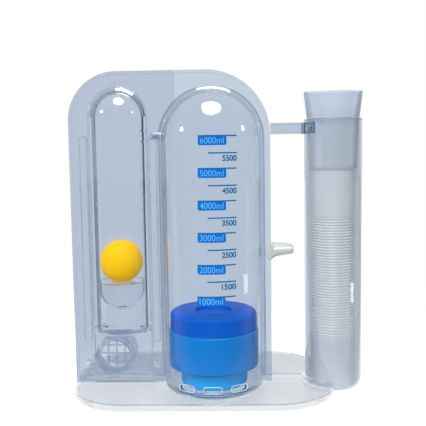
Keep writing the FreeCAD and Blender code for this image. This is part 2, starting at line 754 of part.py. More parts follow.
def float_parts():
    """Flow ball, its seat and the cup under it."""
    x = -S["channel_x"]
    y = S["parting"] + S["seat_gap"] / 2
    inside = S["channel_radius"] - S["channel_wall"] - S["seat_gap"]
    wall = S["cup_wall"]
    top = S["seat_level"]
    rim = top - S["cup_rim"]
    seat_low = top - S["seat_wall"]
    step = inside - wall - S["seat_gap"]
    bowl = inside
    node("ball_cup", turn("cup_body", [
        (inside - wall, top),
        (inside - wall, rim),
        (S["cup_vent"], rim - root((bowl - wall) * (bowl - wall) - S["cup_vent"] * S["cup_vent"]),
         bowl - wall, -1),
        (S["cup_vent"], rim - root(bowl * bowl - S["cup_vent"] * S["cup_vent"])),
        (inside, rim, bowl, 1),
        (inside, top),
    ], x, y, 0))
    node("ball_seat", turn("seat_body", [
        (S["ball_hole"], seat_low),
        (step, seat_low),
        (step, top),
        (S["ball_hole"], top),
    ], x, y, 0))
    rise = root(S["ball_radius"] * S["ball_radius"] - S["ball_hole"] * S["ball_hole"])
    node("flow_ball", ball("flow_ball_body", S["ball_radius"], x, y, top + rise + S["seat_gap"]))


def inlet_port():
    """Hose port on the inlet box and the grille inside it."""
    x = -S["port_x"]
    z = S["port_level"]
    inside = S["port_radius"] - S["port_wall"]
    front = S["parting"] - S["port_reach"]
    free = S["port_reach"] - S["panel_wall"] - S["box_front"] - S["seat_gap"]
    length = free + S["box_front"] / 2 + S["seat_gap"]
    outer = rod("port_outer", S["port_radius"], free, x, front, z, ALONG_Y)
    spigot = rod("port_spigot", S["port_radius"] - S["port_step"], length, x, front, z, ALONG_Y)
    bore = rod("port_bore", inside, length + 10, x, front - 5, z, ALONG_Y)
    node("inlet_port", cut("port_cut", fuse("port_solid", outer, spigot), bore))
    gap = S["seat_gap"]
    depth = S["grille_depth"]
    ring_y = S["parting"] - S["panel_wall"] - S["box_front"] - depth
    ring = cut("grille_ring", rod("grille_outer", inside - gap, depth, x, ring_y, z, ALONG_Y),
               rod("grille_inner", inside - gap - 1.4, depth + 2, x, ring_y - 1, z, ALONG_Y))
    disc = rod("grille_disc", inside - gap - 0.5, depth, x, ring_y, z, ALONG_Y)
    bars = []
    bar = S["grille_bar"]
    for index in (-1, 0, 1):
        offset = S["grille_pitch"] * index
        bars.append(box("grille_upright_%d" % (index + 2), bar, depth, 60,
                        x + offset - bar / 2, ring_y, z - 30))
        bars.append(box("grille_level_%d" % (index + 2), 60, depth, bar,
                        x - 30, ring_y, z + offset - bar / 2))
    cross = common("grille_cross", fuse("grille_bars", *bars), disc)
    node("port_grille", fuse("grille_all", ring, cross))


def pins():
    """Pins and studs that join the panel and the cover."""
    front = S["parting"] - S["panel_wall"] - S["flute_rise"] - 0.4
    length = S["panel_wall"] + S["flute_rise"] + 0.4 + S["seat_gap"] + S["cover_wall"] + 0.4
    for name, x, z, radius in pin_places():
        node(name, rod(name + "_body", radius, length, x, front, z, ALONG_Y))


def storage():
    """Storage tube with its strap, clip and snap button."""
    radius = S["tube_radius"]
    wall = S["tube_wall"]
    fillet = S["tube_fillet"]
    top = S["tube_top"]
    x = S["tube_x"]
    y = S["tube_y"]
    gap = S["seat_gap"]
    tube = turn("tube_body", [
        (size(0), size(0)),
        (radius - fillet, size(0)),
        (radius, fillet, fillet, 1),
        (radius, top),
        (radius - wall, top),
        (radius - wall, fillet),
        (radius - fillet, wall, fillet - wall, -1),
        (size(0), wall),
    ], x, y, 0)
    half = S["strap_height"] / 2
    level = S["strap_level"]
    clip_in = radius + gap
    clip_out = clip_in + S["clip_thick"]
    strap_y = S["parting"] - S["panel_wall"] - S["rim_depth"]
    ring = cut("clip_ring", rod("clip_outer", clip_out, S["strap_height"], x, y, level - half),
               rod("clip_inner", clip_in, S["strap_height"] + 2, x, y, level - half - 1))
    start = S["panel_right"] + gap
    tongue_end = x - root(clip_out * clip_out - (y - strap_y) * (y - strap_y)) + S["clip_thick"] / 2
    window = box("clip_window", tongue_end + S["clip_reach"] - start, y - strap_y + 10, S["strap_height"],
                 start, strap_y - 10, level - half)
    angle = S["button_angle"].value
    cosine = math.cos(math.radians(angle))
    sine = math.sin(math.radians(angle))
    inward = FreeCAD.Rotation(FreeCAD.Vector(0, 0, 1), angle).multiply(ALONG_X)
    reach = clip_out + S["button_rise"]
    deep = reach - radius + wall + 0.4

    def stud(name, more, length):
        return rod(name, S["button_radius"] + more, length,
                   x - reach * cosine, y - reach * sine, level, inward)

    hole = stud("button_hole", S["pin_gap"], deep + 3)
    node("strap_clip", cut("clip_part", common("clip_arc", ring, window), hole))
    node("holder_tube", cut("tube_part", tube, hole))
    node("snap_button", stud("button_body", size(0), deep))
    strap_full = box("strap_full", tongue_end - start + 10, S["strap_thick"], S["strap_height"],
                     start, strap_y, level - half)
    groove = S["strap_height"] / 5
    grooves = [box("strap_groove_%d" % index, tongue_end - start - 6, 1.0, 0.9,
                   start + 2, strap_y - 0.3, level + groove * index - 0.45) for index in (-1, 1)]
    room = rod("strap_room", clip_out + gap, S["strap_height"] + 2, x, y, level - half - 1)
    button_room = stud("strap_button_room", gap, deep + 3)
    node("holder_strap", cut("strap_cut", strap_full, room, button_room, *grooves))


def mouth_section(name, half, half_depth, z):
    """Ellipse for the mouthpiece loft."""
    obj = doc.addObject("Part::Ellipse", name)
    bind(obj, "MajorRadius", half)
    bind(obj, "MinorRadius", half_depth)
    return place(obj, S["tube_x"], S["tube_y"], z)


def loft(name, sections):
    obj = doc.addObject("Part::Loft", name)
    obj.Sections = sections
    obj.Solid = True
    obj.Ruled = True
    return obj


def breathing_hose():
    """Ribbed hose with smooth ends, stored upright in the tube, and its mouthpiece."""
    outer = S["hose_radius"]
    wall = S["hose_wall"]
    cuff = outer - 0.1
    inside = cuff - wall
    corner = S["tube_fillet"] - S["tube_wall"]
    corner_reach = cuff - S["tube_radius"] + S["tube_fillet"]
    low = S["tube_fillet"] - root(corner * corner - corner_reach * corner_reach) + S["seat_gap"]
    rib_start = low + S["cuff_low"]
    high = rib_start + S["rib_pitch"] * S["rib_count"]
    top = S["tube_top"] - S["hose_drop"]
    grip = S["port_radius"] + S["port_fit"]
    grip_top = low + S["cuff_grip"]
    pitch = S["rib_pitch"]
    valley = outer - S["rib_depth"]
    blank = outer + S["rib_depth"] / 4
    hose = turn("hose_body", [
        (grip, low),
        (cuff, low),
        (cuff, rib_start),
        (blank, rib_start),
        (blank, high),
        (cuff, high),
        (cuff, top),
        (inside, top),
        (inside, grip_top + inside - grip),
        (grip, grip_top),
    ], S["tube_x"], S["tube_y"], 0)
    profile = draw(hose, "hose_valley", "XZ_Plane", [
        (outer + S["rib_depth"], rib_start - pitch / 2),
        (valley, rib_start + pitch / 2),
        (outer + S["rib_depth"], rib_start + pitch * 1.5),
    ])
    groove = hose.newObject("PartDesign::Groove", "hose_groove")
    groove.Profile = profile
    groove.ReferenceAxis = (profile, ["V_Axis"])
    groove.Angle = 360
    profile.Visibility = False
    doc.recompute()
    ribs = hose.newObject("PartDesign::LinearPattern", "hose_ribs")
    ribs.Originals = [groove]
    ribs.Direction = (profile, ["V_Axis"])
    ribs.Occurrences = int(S["rib_count"].value)
    bind(ribs, "Occurrences", S["rib_count"])
    bind(ribs, "Length", pitch * (S["rib_count"] - 1))
    hose.Tip = ribs
    node("breathing_hose", hose)
    mouthpiece(top, cuff, inside)


def mouthpiece(hose_top, cuff, bore):
    """Flared mouthpiece with a round socket over the upper end of the hose."""
    x = S["tube_x"]
    y = S["tube_y"]
    wall = S["mouth_wall"]
    step = S["socket_step"]
    neck = S["tube_top"]
    low = hose_top - S["socket_length"]
    stop = hose_top + S["seat_gap"]
    flare = stop + wall
    socket = cuff + S["pin_gap"]
    outer = socket + wall
    round_part = rod("mouth_socket", outer, flare - low, x, y, low)
    body = loft("mouth_flare", [
        mouth_section("mouth_a", outer - step, outer - step - 0.01, flare),
        mouth_section("mouth_b", S["neck_half"], S["neck_half_depth"], neck),
        mouth_section("mouth_c", S["mouth_half"], S["mouth_half_depth"], S["mouth_top"]),
    ])
    inner = loft("mouth_room", [
        mouth_section("mouth_d", bore, bore - 0.01, flare),
        mouth_section("mouth_e", S["neck_half"] - wall, S["neck_half_depth"] - wall, neck),
        mouth_section("mouth_f", S["mouth_half"] - wall, S["mouth_half_depth"] - wall, S["mouth_top"]),
    ])
    stop_bore = rod("mouth_stop_bore", bore - step, wall + 1, x, y, stop - 1)
    socket_bore = rod("mouth_socket_bore", socket, stop - low + 1, x, y, low - 1)
    shell = cut("mouth_shell", body, inner)
    collar = cut("mouth_collar", round_part, socket_bore, stop_bore)
    node("mouthpiece", fuse("mouth_body", collar, shell))


def goal_pointer():
    """White pointer that grips the right edge of the panel and slides along it."""
    gap = S["pointer_gap"]
    jaw = S["jaw_thick"]
    half = S["pointer_height"] / 2
    z = S["pointer_level"]
    edge = S["panel_right"]
    rim_front = S["parting"] - S["panel_wall"] - S["rim_depth"]
    front = rim_front - gap - jaw
    rear = S["parting"] + gap + jaw
    grip = S["bead_width"] + S["chamber_radius"] + 0.8
    block = box("pointer_block", edge + gap + jaw - grip, rear - front, half * 2, grip, front, z - half)
    room = box("pointer_room", edge + gap - grip + 5, rear - front - jaw * 2, half * 2 + 4,
               grip - 5, front + jaw, z - half - 2)
    clamp = cut("pointer_clamp", block, room)
    tab_left = edge + gap + jaw / 2
    tab_z = z - S["tab_height"] / 2 - 0.5
    tab = box("pointer_tab", S["tab_length"], S["tab_depth"], S["tab_height"], tab_left, front, tab_z)
    fin = slab("pointer_fin", "XZ_Plane", [
        (tab_left, tab_z - 4.2),
        (tab_left + 3.5, tab_z),
        (tab_left + S["tab_length"], tab_z),
        (tab_left + S["tab_length"], tab_z + S["tab_height"]),
        (tab_left + S["tab_length"] * 0.66, tab_z + S["tab_height"] + 4.4),
        (tab_left, tab_z + S["tab_height"] + 4.8),
    ], size(1.8), 0, front + S["tab_depth"] + 1.8, 0)
    node("goal_pointer", fuse("pointer_all", clamp, tab, fin))


base_plate()
front_panel()
rear_cover()
main_chamber()
chamber_floor()
piston()
float_parts()
inlet_port()
pins()
storage()
breathing_hose()
goal_pointer()

doc.recompute()
for obj in NODES:
    state = [word for word in obj.State if word in ("Invalid", "Error")]
    if state or obj.Shape.isNull() or not obj.Shape.isValid():
        raise RuntimeError("%s did not build: %s" % (obj.Label, obj.State))
    obj.Shape.exportStep("parts/%s.step" % obj.Label)
    print(obj.Label, len(obj.Shape.Solids), round(obj.Shape.Volume, 1))
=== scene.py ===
import bmesh
import bpy
import math
from mathutils import Matrix, Vector


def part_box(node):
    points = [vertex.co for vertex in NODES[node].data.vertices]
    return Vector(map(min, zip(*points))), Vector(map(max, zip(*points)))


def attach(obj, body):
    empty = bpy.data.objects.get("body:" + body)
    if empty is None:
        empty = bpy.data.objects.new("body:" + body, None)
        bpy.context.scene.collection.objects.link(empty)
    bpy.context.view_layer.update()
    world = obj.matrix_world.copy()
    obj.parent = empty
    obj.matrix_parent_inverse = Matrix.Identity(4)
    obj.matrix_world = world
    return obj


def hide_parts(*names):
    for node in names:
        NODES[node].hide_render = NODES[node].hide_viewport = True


bl_info = {
    "name": "Incentive spirometer",
    "version": (1, 0, 0),
    "blender": (4, 5, 0),
    "location": "3D View > Sidebar > Spirometer",
    "description": "Dresses the packed spirometer: clear housing, piston, flow ball, hose and scale print",
    "category": "Object",
}

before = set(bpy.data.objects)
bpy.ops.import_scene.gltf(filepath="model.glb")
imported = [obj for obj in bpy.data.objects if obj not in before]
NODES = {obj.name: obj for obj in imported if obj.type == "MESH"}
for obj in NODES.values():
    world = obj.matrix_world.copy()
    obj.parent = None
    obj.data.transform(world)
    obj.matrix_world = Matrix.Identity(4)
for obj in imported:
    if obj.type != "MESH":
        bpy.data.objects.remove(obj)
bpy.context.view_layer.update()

# Lengths in this file are millimetres. A mesh is turned into metres when it is made.
MM = 0.001


def node_box(name):
    """Lowest and highest corner of a CAD node in millimetres."""
    low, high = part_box(name)
    return Vector(low) / MM, Vector(high) / MM


# Light that falls on the part from all round, and what the table adds to itself where it is seen.
FILL = 0.75
FLOOR_GLOW = 0.3
# Table: grain of its paint and half its width.
TABLE_GRAIN = 2.5
TABLE_SPAN = 4000.0

# Camera that the photograph was taken with: place in millimetres, angles in degrees.
CAMERA_PLACE = (16.7, -548.5, 204.9)
CAMERA_YAW = -1.65
CAMERA_PITCH = -5.2
CAMERA_ROLL = -0.88
CAMERA_LENS = 54.93
CAMERA_SENSOR = 36.0

CHAMBER_LOW, CHAMBER_HIGH = node_box("main_chamber")
CHAMBER_RADIUS = (CHAMBER_HIGH.y - CHAMBER_LOW.y) / 2
TUBE_LOW, TUBE_HIGH = node_box("holder_tube")
TUBE_X = (TUBE_LOW.x + TUBE_HIGH.x) / 2
TUBE_Y = (TUBE_LOW.y + TUBE_HIGH.y) / 2
BALL_LOW, BALL_HIGH = node_box("flow_ball")


# ---------------------------------------------------------------- colours and nodes

def linear(code):
    """Linear colour of an sRGB hex code."""
    values = [int(code[i:i + 2], 16) / 255 for i in (1, 3, 5)]
    return tuple(v / 12.92 if v <= 0.04045 else ((v + 0.055) / 1.055) ** 2.4 for v in values)


def rgba(colour):
    return (colour[0], colour[1], colour[2], 1.0)


def add(tree, kind, links=(), settings=(), values=()):
    """Add a node: links are (input, socket), settings are (attribute, value), values are (input, value)."""
    made = tree.nodes.new(kind)
    for name, value in settings:
        setattr(made, name, value)
    for name, value in values:
        made.inputs[name].default_value = value
    for name, socket in links:
        tree.links.new(socket, made.inputs[name])
    return made


def maths(tree, operation, first, second=None, third=None):
    """Math node of sockets and plain numbers."""
    made = add(tree, "ShaderNodeMath", settings=[("operation", operation)])
    for slot, value in enumerate((first, second, third)):
        if isinstance(value, (int, float)):
            made.inputs[slot].default_value = value
        elif value is not None:
            tree.links.new(value, made.inputs[slot])
    return made.outputs[0]


def ramp(tree, value, start, end, low=0.0, high=1.0, smooth=False):
    """Map a value from start..end to low..high, held at both ends."""
    made = add(tree, "ShaderNodeMapRange", [("Value", value)],
               [("interpolation_type", "SMOOTHSTEP" if smooth else "LINEAR")],
               [("From Min", start), ("From Max", end), ("To Min", low), ("To Max", high)])
    return made.outputs[0]


def apart(tree, kind="Object"):
    """X, Y and Z of a texture coordinate."""
    return add(tree, "ShaderNodeSeparateXYZ", [(0, add(tree, "ShaderNodeTexCoord").outputs[kind])]).outputs


def blend(tree, share, low, high, target):
    """Link a mix of two linear colours to a socket: low at share 0, high at share 1."""
    tone = add(tree, "ShaderNodeMix", settings=[("data_type", "RGBA")])
    tree.links.new(share, tone.inputs[0])
    for socket in tone.inputs:
        if socket.type == "RGBA":
            socket.default_value = rgba(low if socket.name == "A" else high)
    tree.links.new(tone.outputs[2], target)


def new_material(name):
    material = bpy.data.materials.new(name)
    material.use_nodes = True
    material.node_tree.nodes.clear()
    return material, material.node_tree


def noise(tree, grain):
    """Noise whose grain is a real size in millimetres."""
    made = add(tree, "ShaderNodeTexNoise", [("Vector", add(tree, "ShaderNodeTexCoord").outputs["Object"])],
               values=[("Scale", 1 / (grain * MM)), ("Detail", 2.0)])
    return made.outputs["Fac"]


def ripple(tree, grain, strength, height):
    """Noise of a grain and the bumped normal it gives, with a real height in millimetres."""
    wave = noise(tree, grain)
    bump = add(tree, "ShaderNodeBump", [("Height", wave)],
               values=[("Strength", strength), ("Distance", height * MM)])
    return wave, bump.outputs["Normal"]


# Clear walls: grain, strength and height of the flow ripple, half width of a spot's edge, and the
# number of walls after which a ray goes straight on.
FLOW_RIPPLE = (14.0, 0.12, 0.2)
SPOT_EDGE = 0.6
WALLS_MET = 7.5
# Moulded colours: grain, strength and height of the surface texture, and grain of the unevenness.
MOULD_RIPPLE = (0.6, 0.05, 0.05)
UNEVEN_GRAIN = 25.0
INNER_DEPTH = 4.0
# Polyethylene: its ripple, how its cloudiness varies, and the border below which the wall takes another colour.
CLOUD_RIPPLE = (1.5, 0.06, 0.05)
CLOUD_VARY = 0.03
BORDER_BELOW = 6.0
BORDER_ABOVE = 2.0


def clear_plastic(name, tint, roughness=0.02, index=1.47, straight=0.0, spot=None):
    """Injection-moulded clear styrene: a blue-grey cast in its walls and a faint flow ripple.
    Rays from lamps and from soft light pass straight, so what is inside stays lit.
    A spot (x, z, radius, tint), in millimetres, is a round place of the wall with its own tint, used for painted
    shade."""
    material, tree = new_material(name)
    normal = ripple(tree, *FLOW_RIPPLE)[1]
    glass = add(tree, "ShaderNodeBsdfPrincipled", [("Normal", normal)],
                values=[("Base Color", rgba(tint)), ("Transmission Weight", 1.0),
                        ("IOR", index), ("Roughness", roughness)])
    if spot:
        # the spot's tint, named thick here, is painted shade: a darker round place of the wall
        x, z, radius, thick = spot
        place = apart(tree)
        across = maths(tree, "SUBTRACT", place["X"], x * MM)
        up = maths(tree, "SUBTRACT", place["Z"], z * MM)
        away = maths(tree, "SQRT", maths(tree, "ADD", maths(tree, "MULTIPLY", across, across),
                                         maths(tree, "MULTIPLY", up, up)))
        share = ramp(tree, away, (radius - SPOT_EDGE) * MM, (radius + SPOT_EDGE) * MM)
        blend(tree, share, thick, tint, glass.inputs["Base Color"])
    through = add(tree, "ShaderNodeBsdfTransparent", values=[("Color", (0.97, 0.97, 0.97, 1.0))])
    path = add(tree, "ShaderNodeLightPath").outputs
    # a ray that has met many walls goes straight on, as it would not end in a real one
    spent = maths(tree, "GREATER_THAN", path["Ray Depth"], WALLS_MET)
    soft = maths(tree, "MAXIMUM", path["Is Shadow Ray"], path["Is Diffuse Ray"])
    soft = maths(tree, "MAXIMUM", maths(tree, "MAXIMUM", soft, spent), straight)
    mix = add(tree, "ShaderNodeMixShader", [("Fac", soft), (1, glass.outputs[0]), (2, through.outputs[0])])
    add(tree, "ShaderNodeOutputMaterial", [("Surface", mix.outputs[0])])
    return material


def moulded(name, colour, roughness, shine, vary=0.04, inner=0.0, glow=0.0):
    """Moulded coloured plastic: fine surface texture and a slight unevenness of colour."""
    material, tree = new_material(name)
    normal = ripple(tree, *MOULD_RIPPLE)[1]
    dark = [c * (1 - vary) for c in colour]
    light = [min(1, c * (1 + vary)) for c in colour]
    # glow is painted light: the plastic gives off light of its own colour
    shader = add(tree, "ShaderNodeBsdfPrincipled", [("Normal", normal)],
                 values=[("Roughness", roughness), ("IOR", 1.5), ("Specular IOR Level", shine),
                         ("Emission Color", rgba(colour)), ("Emission Strength", glow)])
    blend(tree, noise(tree, UNEVEN_GRAIN), dark, light, shader.inputs["Base Color"])
    if inner:
        shader.inputs["Subsurface Weight"].default_value = inner
        shader.inputs["Subsurface Radius"].default_value = (1.0, 1.0, 1.0)
        shader.inputs["Subsurface Scale"].default_value = INNER_DEPTH * MM
    add(tree, "ShaderNodeOutputMaterial", [("Surface", shader.outputs[0])])
    return material


def milky(name, colour, roughness, clear, lower_colour=None, border=0.0):
    """Translucent polyethylene: part of the light goes straight through, the rest is scattered milky.
    Below the border, in mm above the table, the wall has the lower colour."""
    material, tree = new_material(name)
    wave, normal = ripple(tree, *CLOUD_RIPPLE)
    through = [c ** 0.5 for c in colour]
    body = add(tree, "ShaderNodeBsdfPrincipled", [("Normal", normal)],
               values=[("Base Color", rgba(colour)), ("Roughness", roughness), ("IOR", 1.5)])
    straight = add(tree, "ShaderNodeBsdfTransparent", values=[("Color", rgba(through))])
    if lower_colour:
        share = ramp(tree, apart(tree)["Z"], (border - BORDER_BELOW) * MM, (border + BORDER_ABOVE) * MM)
        blend(tree, share, lower_colour, colour, body.inputs["Base Color"])
        blend(tree, share, [c ** 0.5 for c in lower_colour], through, straight.inputs["Color"])
    cloud = ramp(tree, wave, 0.0, 1.0, clear - CLOUD_VARY, clear + CLOUD_VARY)
    mix = add(tree, "ShaderNodeMixShader", [("Fac", cloud), (1, body.outputs[0]), (2, straight.outputs[0])])
    add(tree, "ShaderNodeOutputMaterial", [("Surface", mix.outputs[0])])
    return material


def dress(names, material):
    """Give CAD nodes a material."""
    for name in names:
        for place in NODES[name].material_slots:
            place.material = material


# ---------------------------------------------------------------- meshes

# Edges that turn less than this are shaded smooth, in degrees.
SMOOTH_BELOW = 30.0
UNION_SMOOTH_BELOW = 35.0


def arc(x, y, radius, start, end, steps):
    """Points of an arc from start to end in degrees."""
    turn = [math.radians(start + (end - start) * i / steps) for i in range(steps + 1)]
    return [(x + radius * math.cos(a), y + radius * math.sin(a)) for a in turn]


def linked(name, data):
    """New object of a mesh, curve, lamp or camera, linked to the scene."""
    made = bpy.data.objects.new(name, data)
    bpy.context.collection.objects.link(made)
    return made


def evaluated(holder):
    """New mesh of an object as its modifiers leave it."""
    graph = bpy.context.evaluated_depsgraph_get()
    return bpy.data.meshes.new_from_object(holder.evaluated_get(graph), depsgraph=graph)


def plain_mesh(holder, name):
    """Turn an object with live modifiers, a curve or a text into a plain mesh object."""
    mesh = evaluated(holder)
    mesh.name = name
    made = linked(name, mesh)
    bpy.data.objects.remove(holder)
    return made


def mesh_object(name, points, faces, material):
    """An object from points in millimetres, with closed seams and smooth shading."""
    mesh = bpy.data.meshes.new(name)
    mesh.from_pydata([Vector(p) * MM for p in points], [], faces)
    body = bmesh.new()
    body.from_mesh(mesh)
    bmesh.ops.remove_doubles(body, verts=body.verts, dist=0.001 * MM)
    bmesh.ops.recalc_face_normals(body, faces=body.faces)
    body.to_mesh(mesh)
    body.free()
    mesh.shade_smooth()
    mesh.set_sharp_from_angle(angle=math.radians(SMOOTH_BELOW))
    mesh.materials.append(material)
    return linked(name, mesh)


def lathe(name, profile, material, steps=128):
    """A solid made by turning a closed profile of (radius, height) points about the frame's Z axis."""
    points = []
    faces = []
    count = len(profile)
    for i in range(steps):
        angle = 2 * math.pi * i / steps
        for radius, height in profile:
            points.append((radius * math.cos(angle), radius * math.sin(angle), height))
    for i in range(steps):
        here = i * count
        there = (i + 1) % steps * count
        for j in range(count):
            k = (j + 1) % count
            first, second = profile[j][0], profile[k][0]
            if first < 1e-6 and second < 1e-6:
                continue
            if first < 1e-6:
                faces.append((here + j, there + k, here + k))
            elif second < 1e-6:
                faces.append((here + j, there + j, here + k))
            else:
                faces.append((here + j, there + j, there + k, here + k))
    return mesh_object(name, points, faces, material)


def prism(name, outline, x, z, front, back, material, bevel=0.0):
    """Plate of an outline in x and z between two depths, with rounded edges."""
    count = len(outline)
    points = [(x + a, y, z + b) for y in (front, back) for a, b in outline]
    faces = [tuple(range(count)), tuple(range(2 * count - 1, count - 1, -1))]
    faces += [(i, i + count, (i + 1) % count + count, (i + 1) % count) for i in range(count)]
    made = mesh_object(name, points, faces, material)
    if bevel:
        modifier = made.modifiers.new("edges", "BEVEL")
        modifier.width = bevel * MM
        modifier.segments = 3
        made = plain_mesh(made, name)
    return made


def unite(first, second):
    """Make two closed pieces one."""
    modifier = first.modifiers.new("union", "BOOLEAN")
    modifier.operation = "UNION"
    modifier.solver = "EXACT"
    modifier.object = second
    mesh = evaluated(first)
    first.modifiers.remove(modifier)
    first.data = mesh
    bpy.data.objects.remove(second)
    mesh.shade_smooth()
    mesh.set_sharp_from_angle(angle=math.radians(UNION_SMOOTH_BELOW))


# ---------------------------------------------------------------- settings

def colour_setting(label, use, code):
    """Colour that a user can change; its default is an sRGB hex code."""
    return bpy.props.FloatVectorProperty(name=label, description=use, subtype="COLOR", size=3,
                                         min=0, max=1, default=linear(code))


class SpirometerColours(bpy.types.PropertyGroup):
    """Colours of the finishes, as linear values."""
    panel: colour_setting("Panel tint", "What one wall of the panel lets through", "#C9D4E2")
    cover: colour_setting("Cover tint", "What one wall of the rear cover lets through", "#F1F3F8")
    chamber: colour_setting("Chamber tint", "What one wall of the chamber lets through", "#D9E1EB")
    base: colour_setting("Base tint", "What one wall of the base lets through", "#DBE2EA")
    tube: colour_setting("Tube tint", "What one wall of the storage tube lets through", "#D0D7E0")
    bead: colour_setting("Bead tint", "What the moulded beads let through", "#F0F3F7")
    # painted shade: the rear cover's darker tint behind the port stands for the shade in the port's hollow
    port_shade_tint: colour_setting("Port back tint", "What the rear cover lets through behind the port", "#C6D1E0")
    fittings: colour_setting("Fittings tint", "What the ball's cup and seat let through", "#FDFDFF")
    strap: colour_setting("Strap tint", "What the strap and its clip let through", "#BACCDB")
    # painted highlight: the slot rims get a milky white that stands for the glints on their clear edges
    slot_rim_highlight: colour_setting("Slot edges", "Frosted white of the chamber's slot edges", "#DCEAF4")
    piston: colour_setting("Piston skirt", "Blue of the piston skirt", "#0079C7")
    lid: colour_setting("Piston lid", "Deeper blue of the piston lid", "#0059C0")
    foot: colour_setting("Piston foot", "Lighter blue of the piston foot", "#10A5ED")
    ball: colour_setting("Flow ball", "Yellow of the flow ball", "#FFBF00")
    label: colour_setting("Scale labels", "Blue of the labels of the scale", "#0560B6")
    digits: colour_setting("Label digits", "Light blue of the numbers on the labels", "#4FA3E2")
    rules: colour_setting("Scale rules", "Blue of the rules and the small numbers", "#0A5F98")
    pointer: colour_setting("Goal pointer", "White of the goal pointer", "#AFB4B2")
    mouthpiece: colour_setting("Mouthpiece", "Frosted white of the mouthpiece", "#C4CEDA")
    # painted light: the socket inside the tube is given a paler white, making up for the light the tube takes
    socket: colour_setting("Mouthpiece socket", "Paler white of the thin socket in the tube", "#E3E7EC")
    hose: colour_setting("Hose", "Milky grey of the breathing hose", "#FAFBFB")
    cuff: colour_setting("Hose cuff", "Milky grey of the hose below its ribs", "#EDEFF2")


class SpirometerSizes(bpy.types.PropertyGroup):
    """Sizes of the parts that only the dressed model has."""
    rib_pitch: bpy.props.FloatProperty(
        name="Rib pitch", description="Distance between two ribs of the hose",
        default=2.38 * MM, min=1.5 * MM, max=6 * MM, precision=5, subtype="DISTANCE", unit="LENGTH")
    rib_count: bpy.props.IntProperty(
        name="Ribs", description="Number of ribs on the hose", default=43, min=5, max=80)
    rib_depth: bpy.props.FloatProperty(
        name="Rib depth", description="Depth of the ribs of the hose",
        default=0.75 * MM, min=0.2 * MM, max=2 * MM, precision=5, subtype="DISTANCE", unit="LENGTH")
    mark_pitch: bpy.props.FloatProperty(
        name="Mark pitch", description="Distance between two thousand marks of the scale",
        default=25.47 * MM, min=10 * MM, max=40 * MM, precision=5, subtype="DISTANCE", unit="LENGTH")
    print_turn: bpy.props.FloatProperty(
        name="Print turn", description="Turn of the scale print round the chamber from mark to mark",
        default=math.radians(-0.68), min=-0.1, max=0.1, subtype="ANGLE", unit="ROTATION")


def colours():
    return bpy.context.scene.spirometer_colours


def sizes():
    return bpy.context.scene.spirometer_sizes


# ---------------------------------------------------------------- clear housing

class SPIROMETER_OT_housing(bpy.types.Operator):
    """Clear finishes of the housing, chamber, base and storage tube"""
    bl_idname = "spirometer.housing"
    bl_label = "Clear housing"

    def execute(self, context):
        tints = colours()
        dress(["front_panel", "inlet_port", "port_grille", "pin_upper_left", "pin_upper_right",
               "pin_middle_left", "pin_middle_right", "stud_lower_left", "stud_lower_right"],
              clear_plastic("clear_styrene_panel", tints.panel))
        # painted shade: the rear cover is tinted darker behind the port, for the shade in the port's hollow
        port_low, port_high = node_box("inlet_port")
        behind = ((port_low.x + port_high.x) / 2, (port_low.z + port_high.z) / 2,
                  (port_high.z - port_low.z) / 2, tints.port_shade_tint)
        dress(["rear_cover"], clear_plastic("clear_styrene_cover", tints.cover, spot=behind))
        dress(["main_chamber", "chamber_floor"],
              clear_plastic("clear_styrene_chamber", tints.chamber, index=1.34))
        dress(["ball_cup", "ball_seat"], clear_plastic("clear_styrene_fittings", tints.fittings, index=1.35))
        dress(["holder_strap", "strap_clip", "snap_button"],
              clear_plastic("clear_styrene_strap", tints.strap))
        dress(["base_plate"], clear_plastic("clear_styrene_base", tints.base, roughness=0.1, index=1.3,
                                             straight=0.3))
        dress(["holder_tube"], clear_plastic("clear_styrene_tube", tints.tube))
        return {"FINISHED"}


# ---------------------------------------------------------------- beads

# Depth of the panel's front face. The chamber's dome has its middle this much, and the chamber's
# radius, below the chamber's top; the float channel's dome lies higher.
PANEL_FACE = 5.8
DOME_CREST = 3.0
CHANNEL_DOME_RISE = 20.0
# Flutes: distance from the channel's middle, half width, lower end, rise over the chamber's dome, depth.
FLUTE_AWAY = 29.7
FLUTE_HALF = 3.0
FLUTE_LOW = 42.7
FLUTE_RISE = 4.0
FLUTE_DEPTH = PANEL_FACE - 2.65
# Beads round both domes: radius of the arch, lower end, depth.
CHAMBER_ARCH = 44.4
CHAMBER_ARCH_LOW = CHAMBER_LOW.z + 1.2
CHAMBER_ARCH_DEPTH = 3.1
CHANNEL_ARCH = 24.7
CHANNEL_ARCH_LOW = 61.0
CHANNEL_ARCH_DEPTH = PANEL_FACE - 0.9
# Air slots round the chamber's foot: directions in degrees, half length, end radius, height.
SLOT_TURNS = (-31, 0, 31, 149, 180, 211)
SLOT_HALF = 5.0
SLOT_END = 2.7
SLOT_HEIGHT = 15.4
SLOT_RADIUS = CHAMBER_RADIUS + 0.3


def arch_line(x, half, low, top, y, steps=48):
    """Line up one side, over an arch and down the other side."""
    return [(x - half, y, low)] + [(a, y, b) for a, b in arc(x, top, half, 180, 0, steps)] + [(x + half, y, low)]


def arch_band(name, x, z, section, material, steps=72):
    """Closed band over a half round arch; the section is a ring of (arch radius, depth) points."""
    points = []
    for i in range(steps + 1):
        angle = math.pi * i / steps
        points += [(x + r * math.cos(angle), y, z + r * math.sin(angle)) for r, y in section]
    count = len(section)
    faces = [tuple(range(count)), tuple(range(len(points) - 1, len(points) - 1 - count, -1))]
    for i in range(steps):
        for j in range(count):
            k = (j + 1) % count
            faces.append((i * count + j, i * count + k, (i + 1) * count + k, (i + 1) * count + j))
    made = mesh_object(name, points, faces, material)
    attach(made, "housing")
    return made


def flute_line(x, half, low, high, y):
    """Closed line round a flute with round ends."""
    line = [(a, y, b) for a, b in arc(x, high - half, half, 180, 0, 16)]
    line += [(a, y, b) for a, b in arc(x, low + half, half, 0, -180, 16)]
    return line + [line[0]]


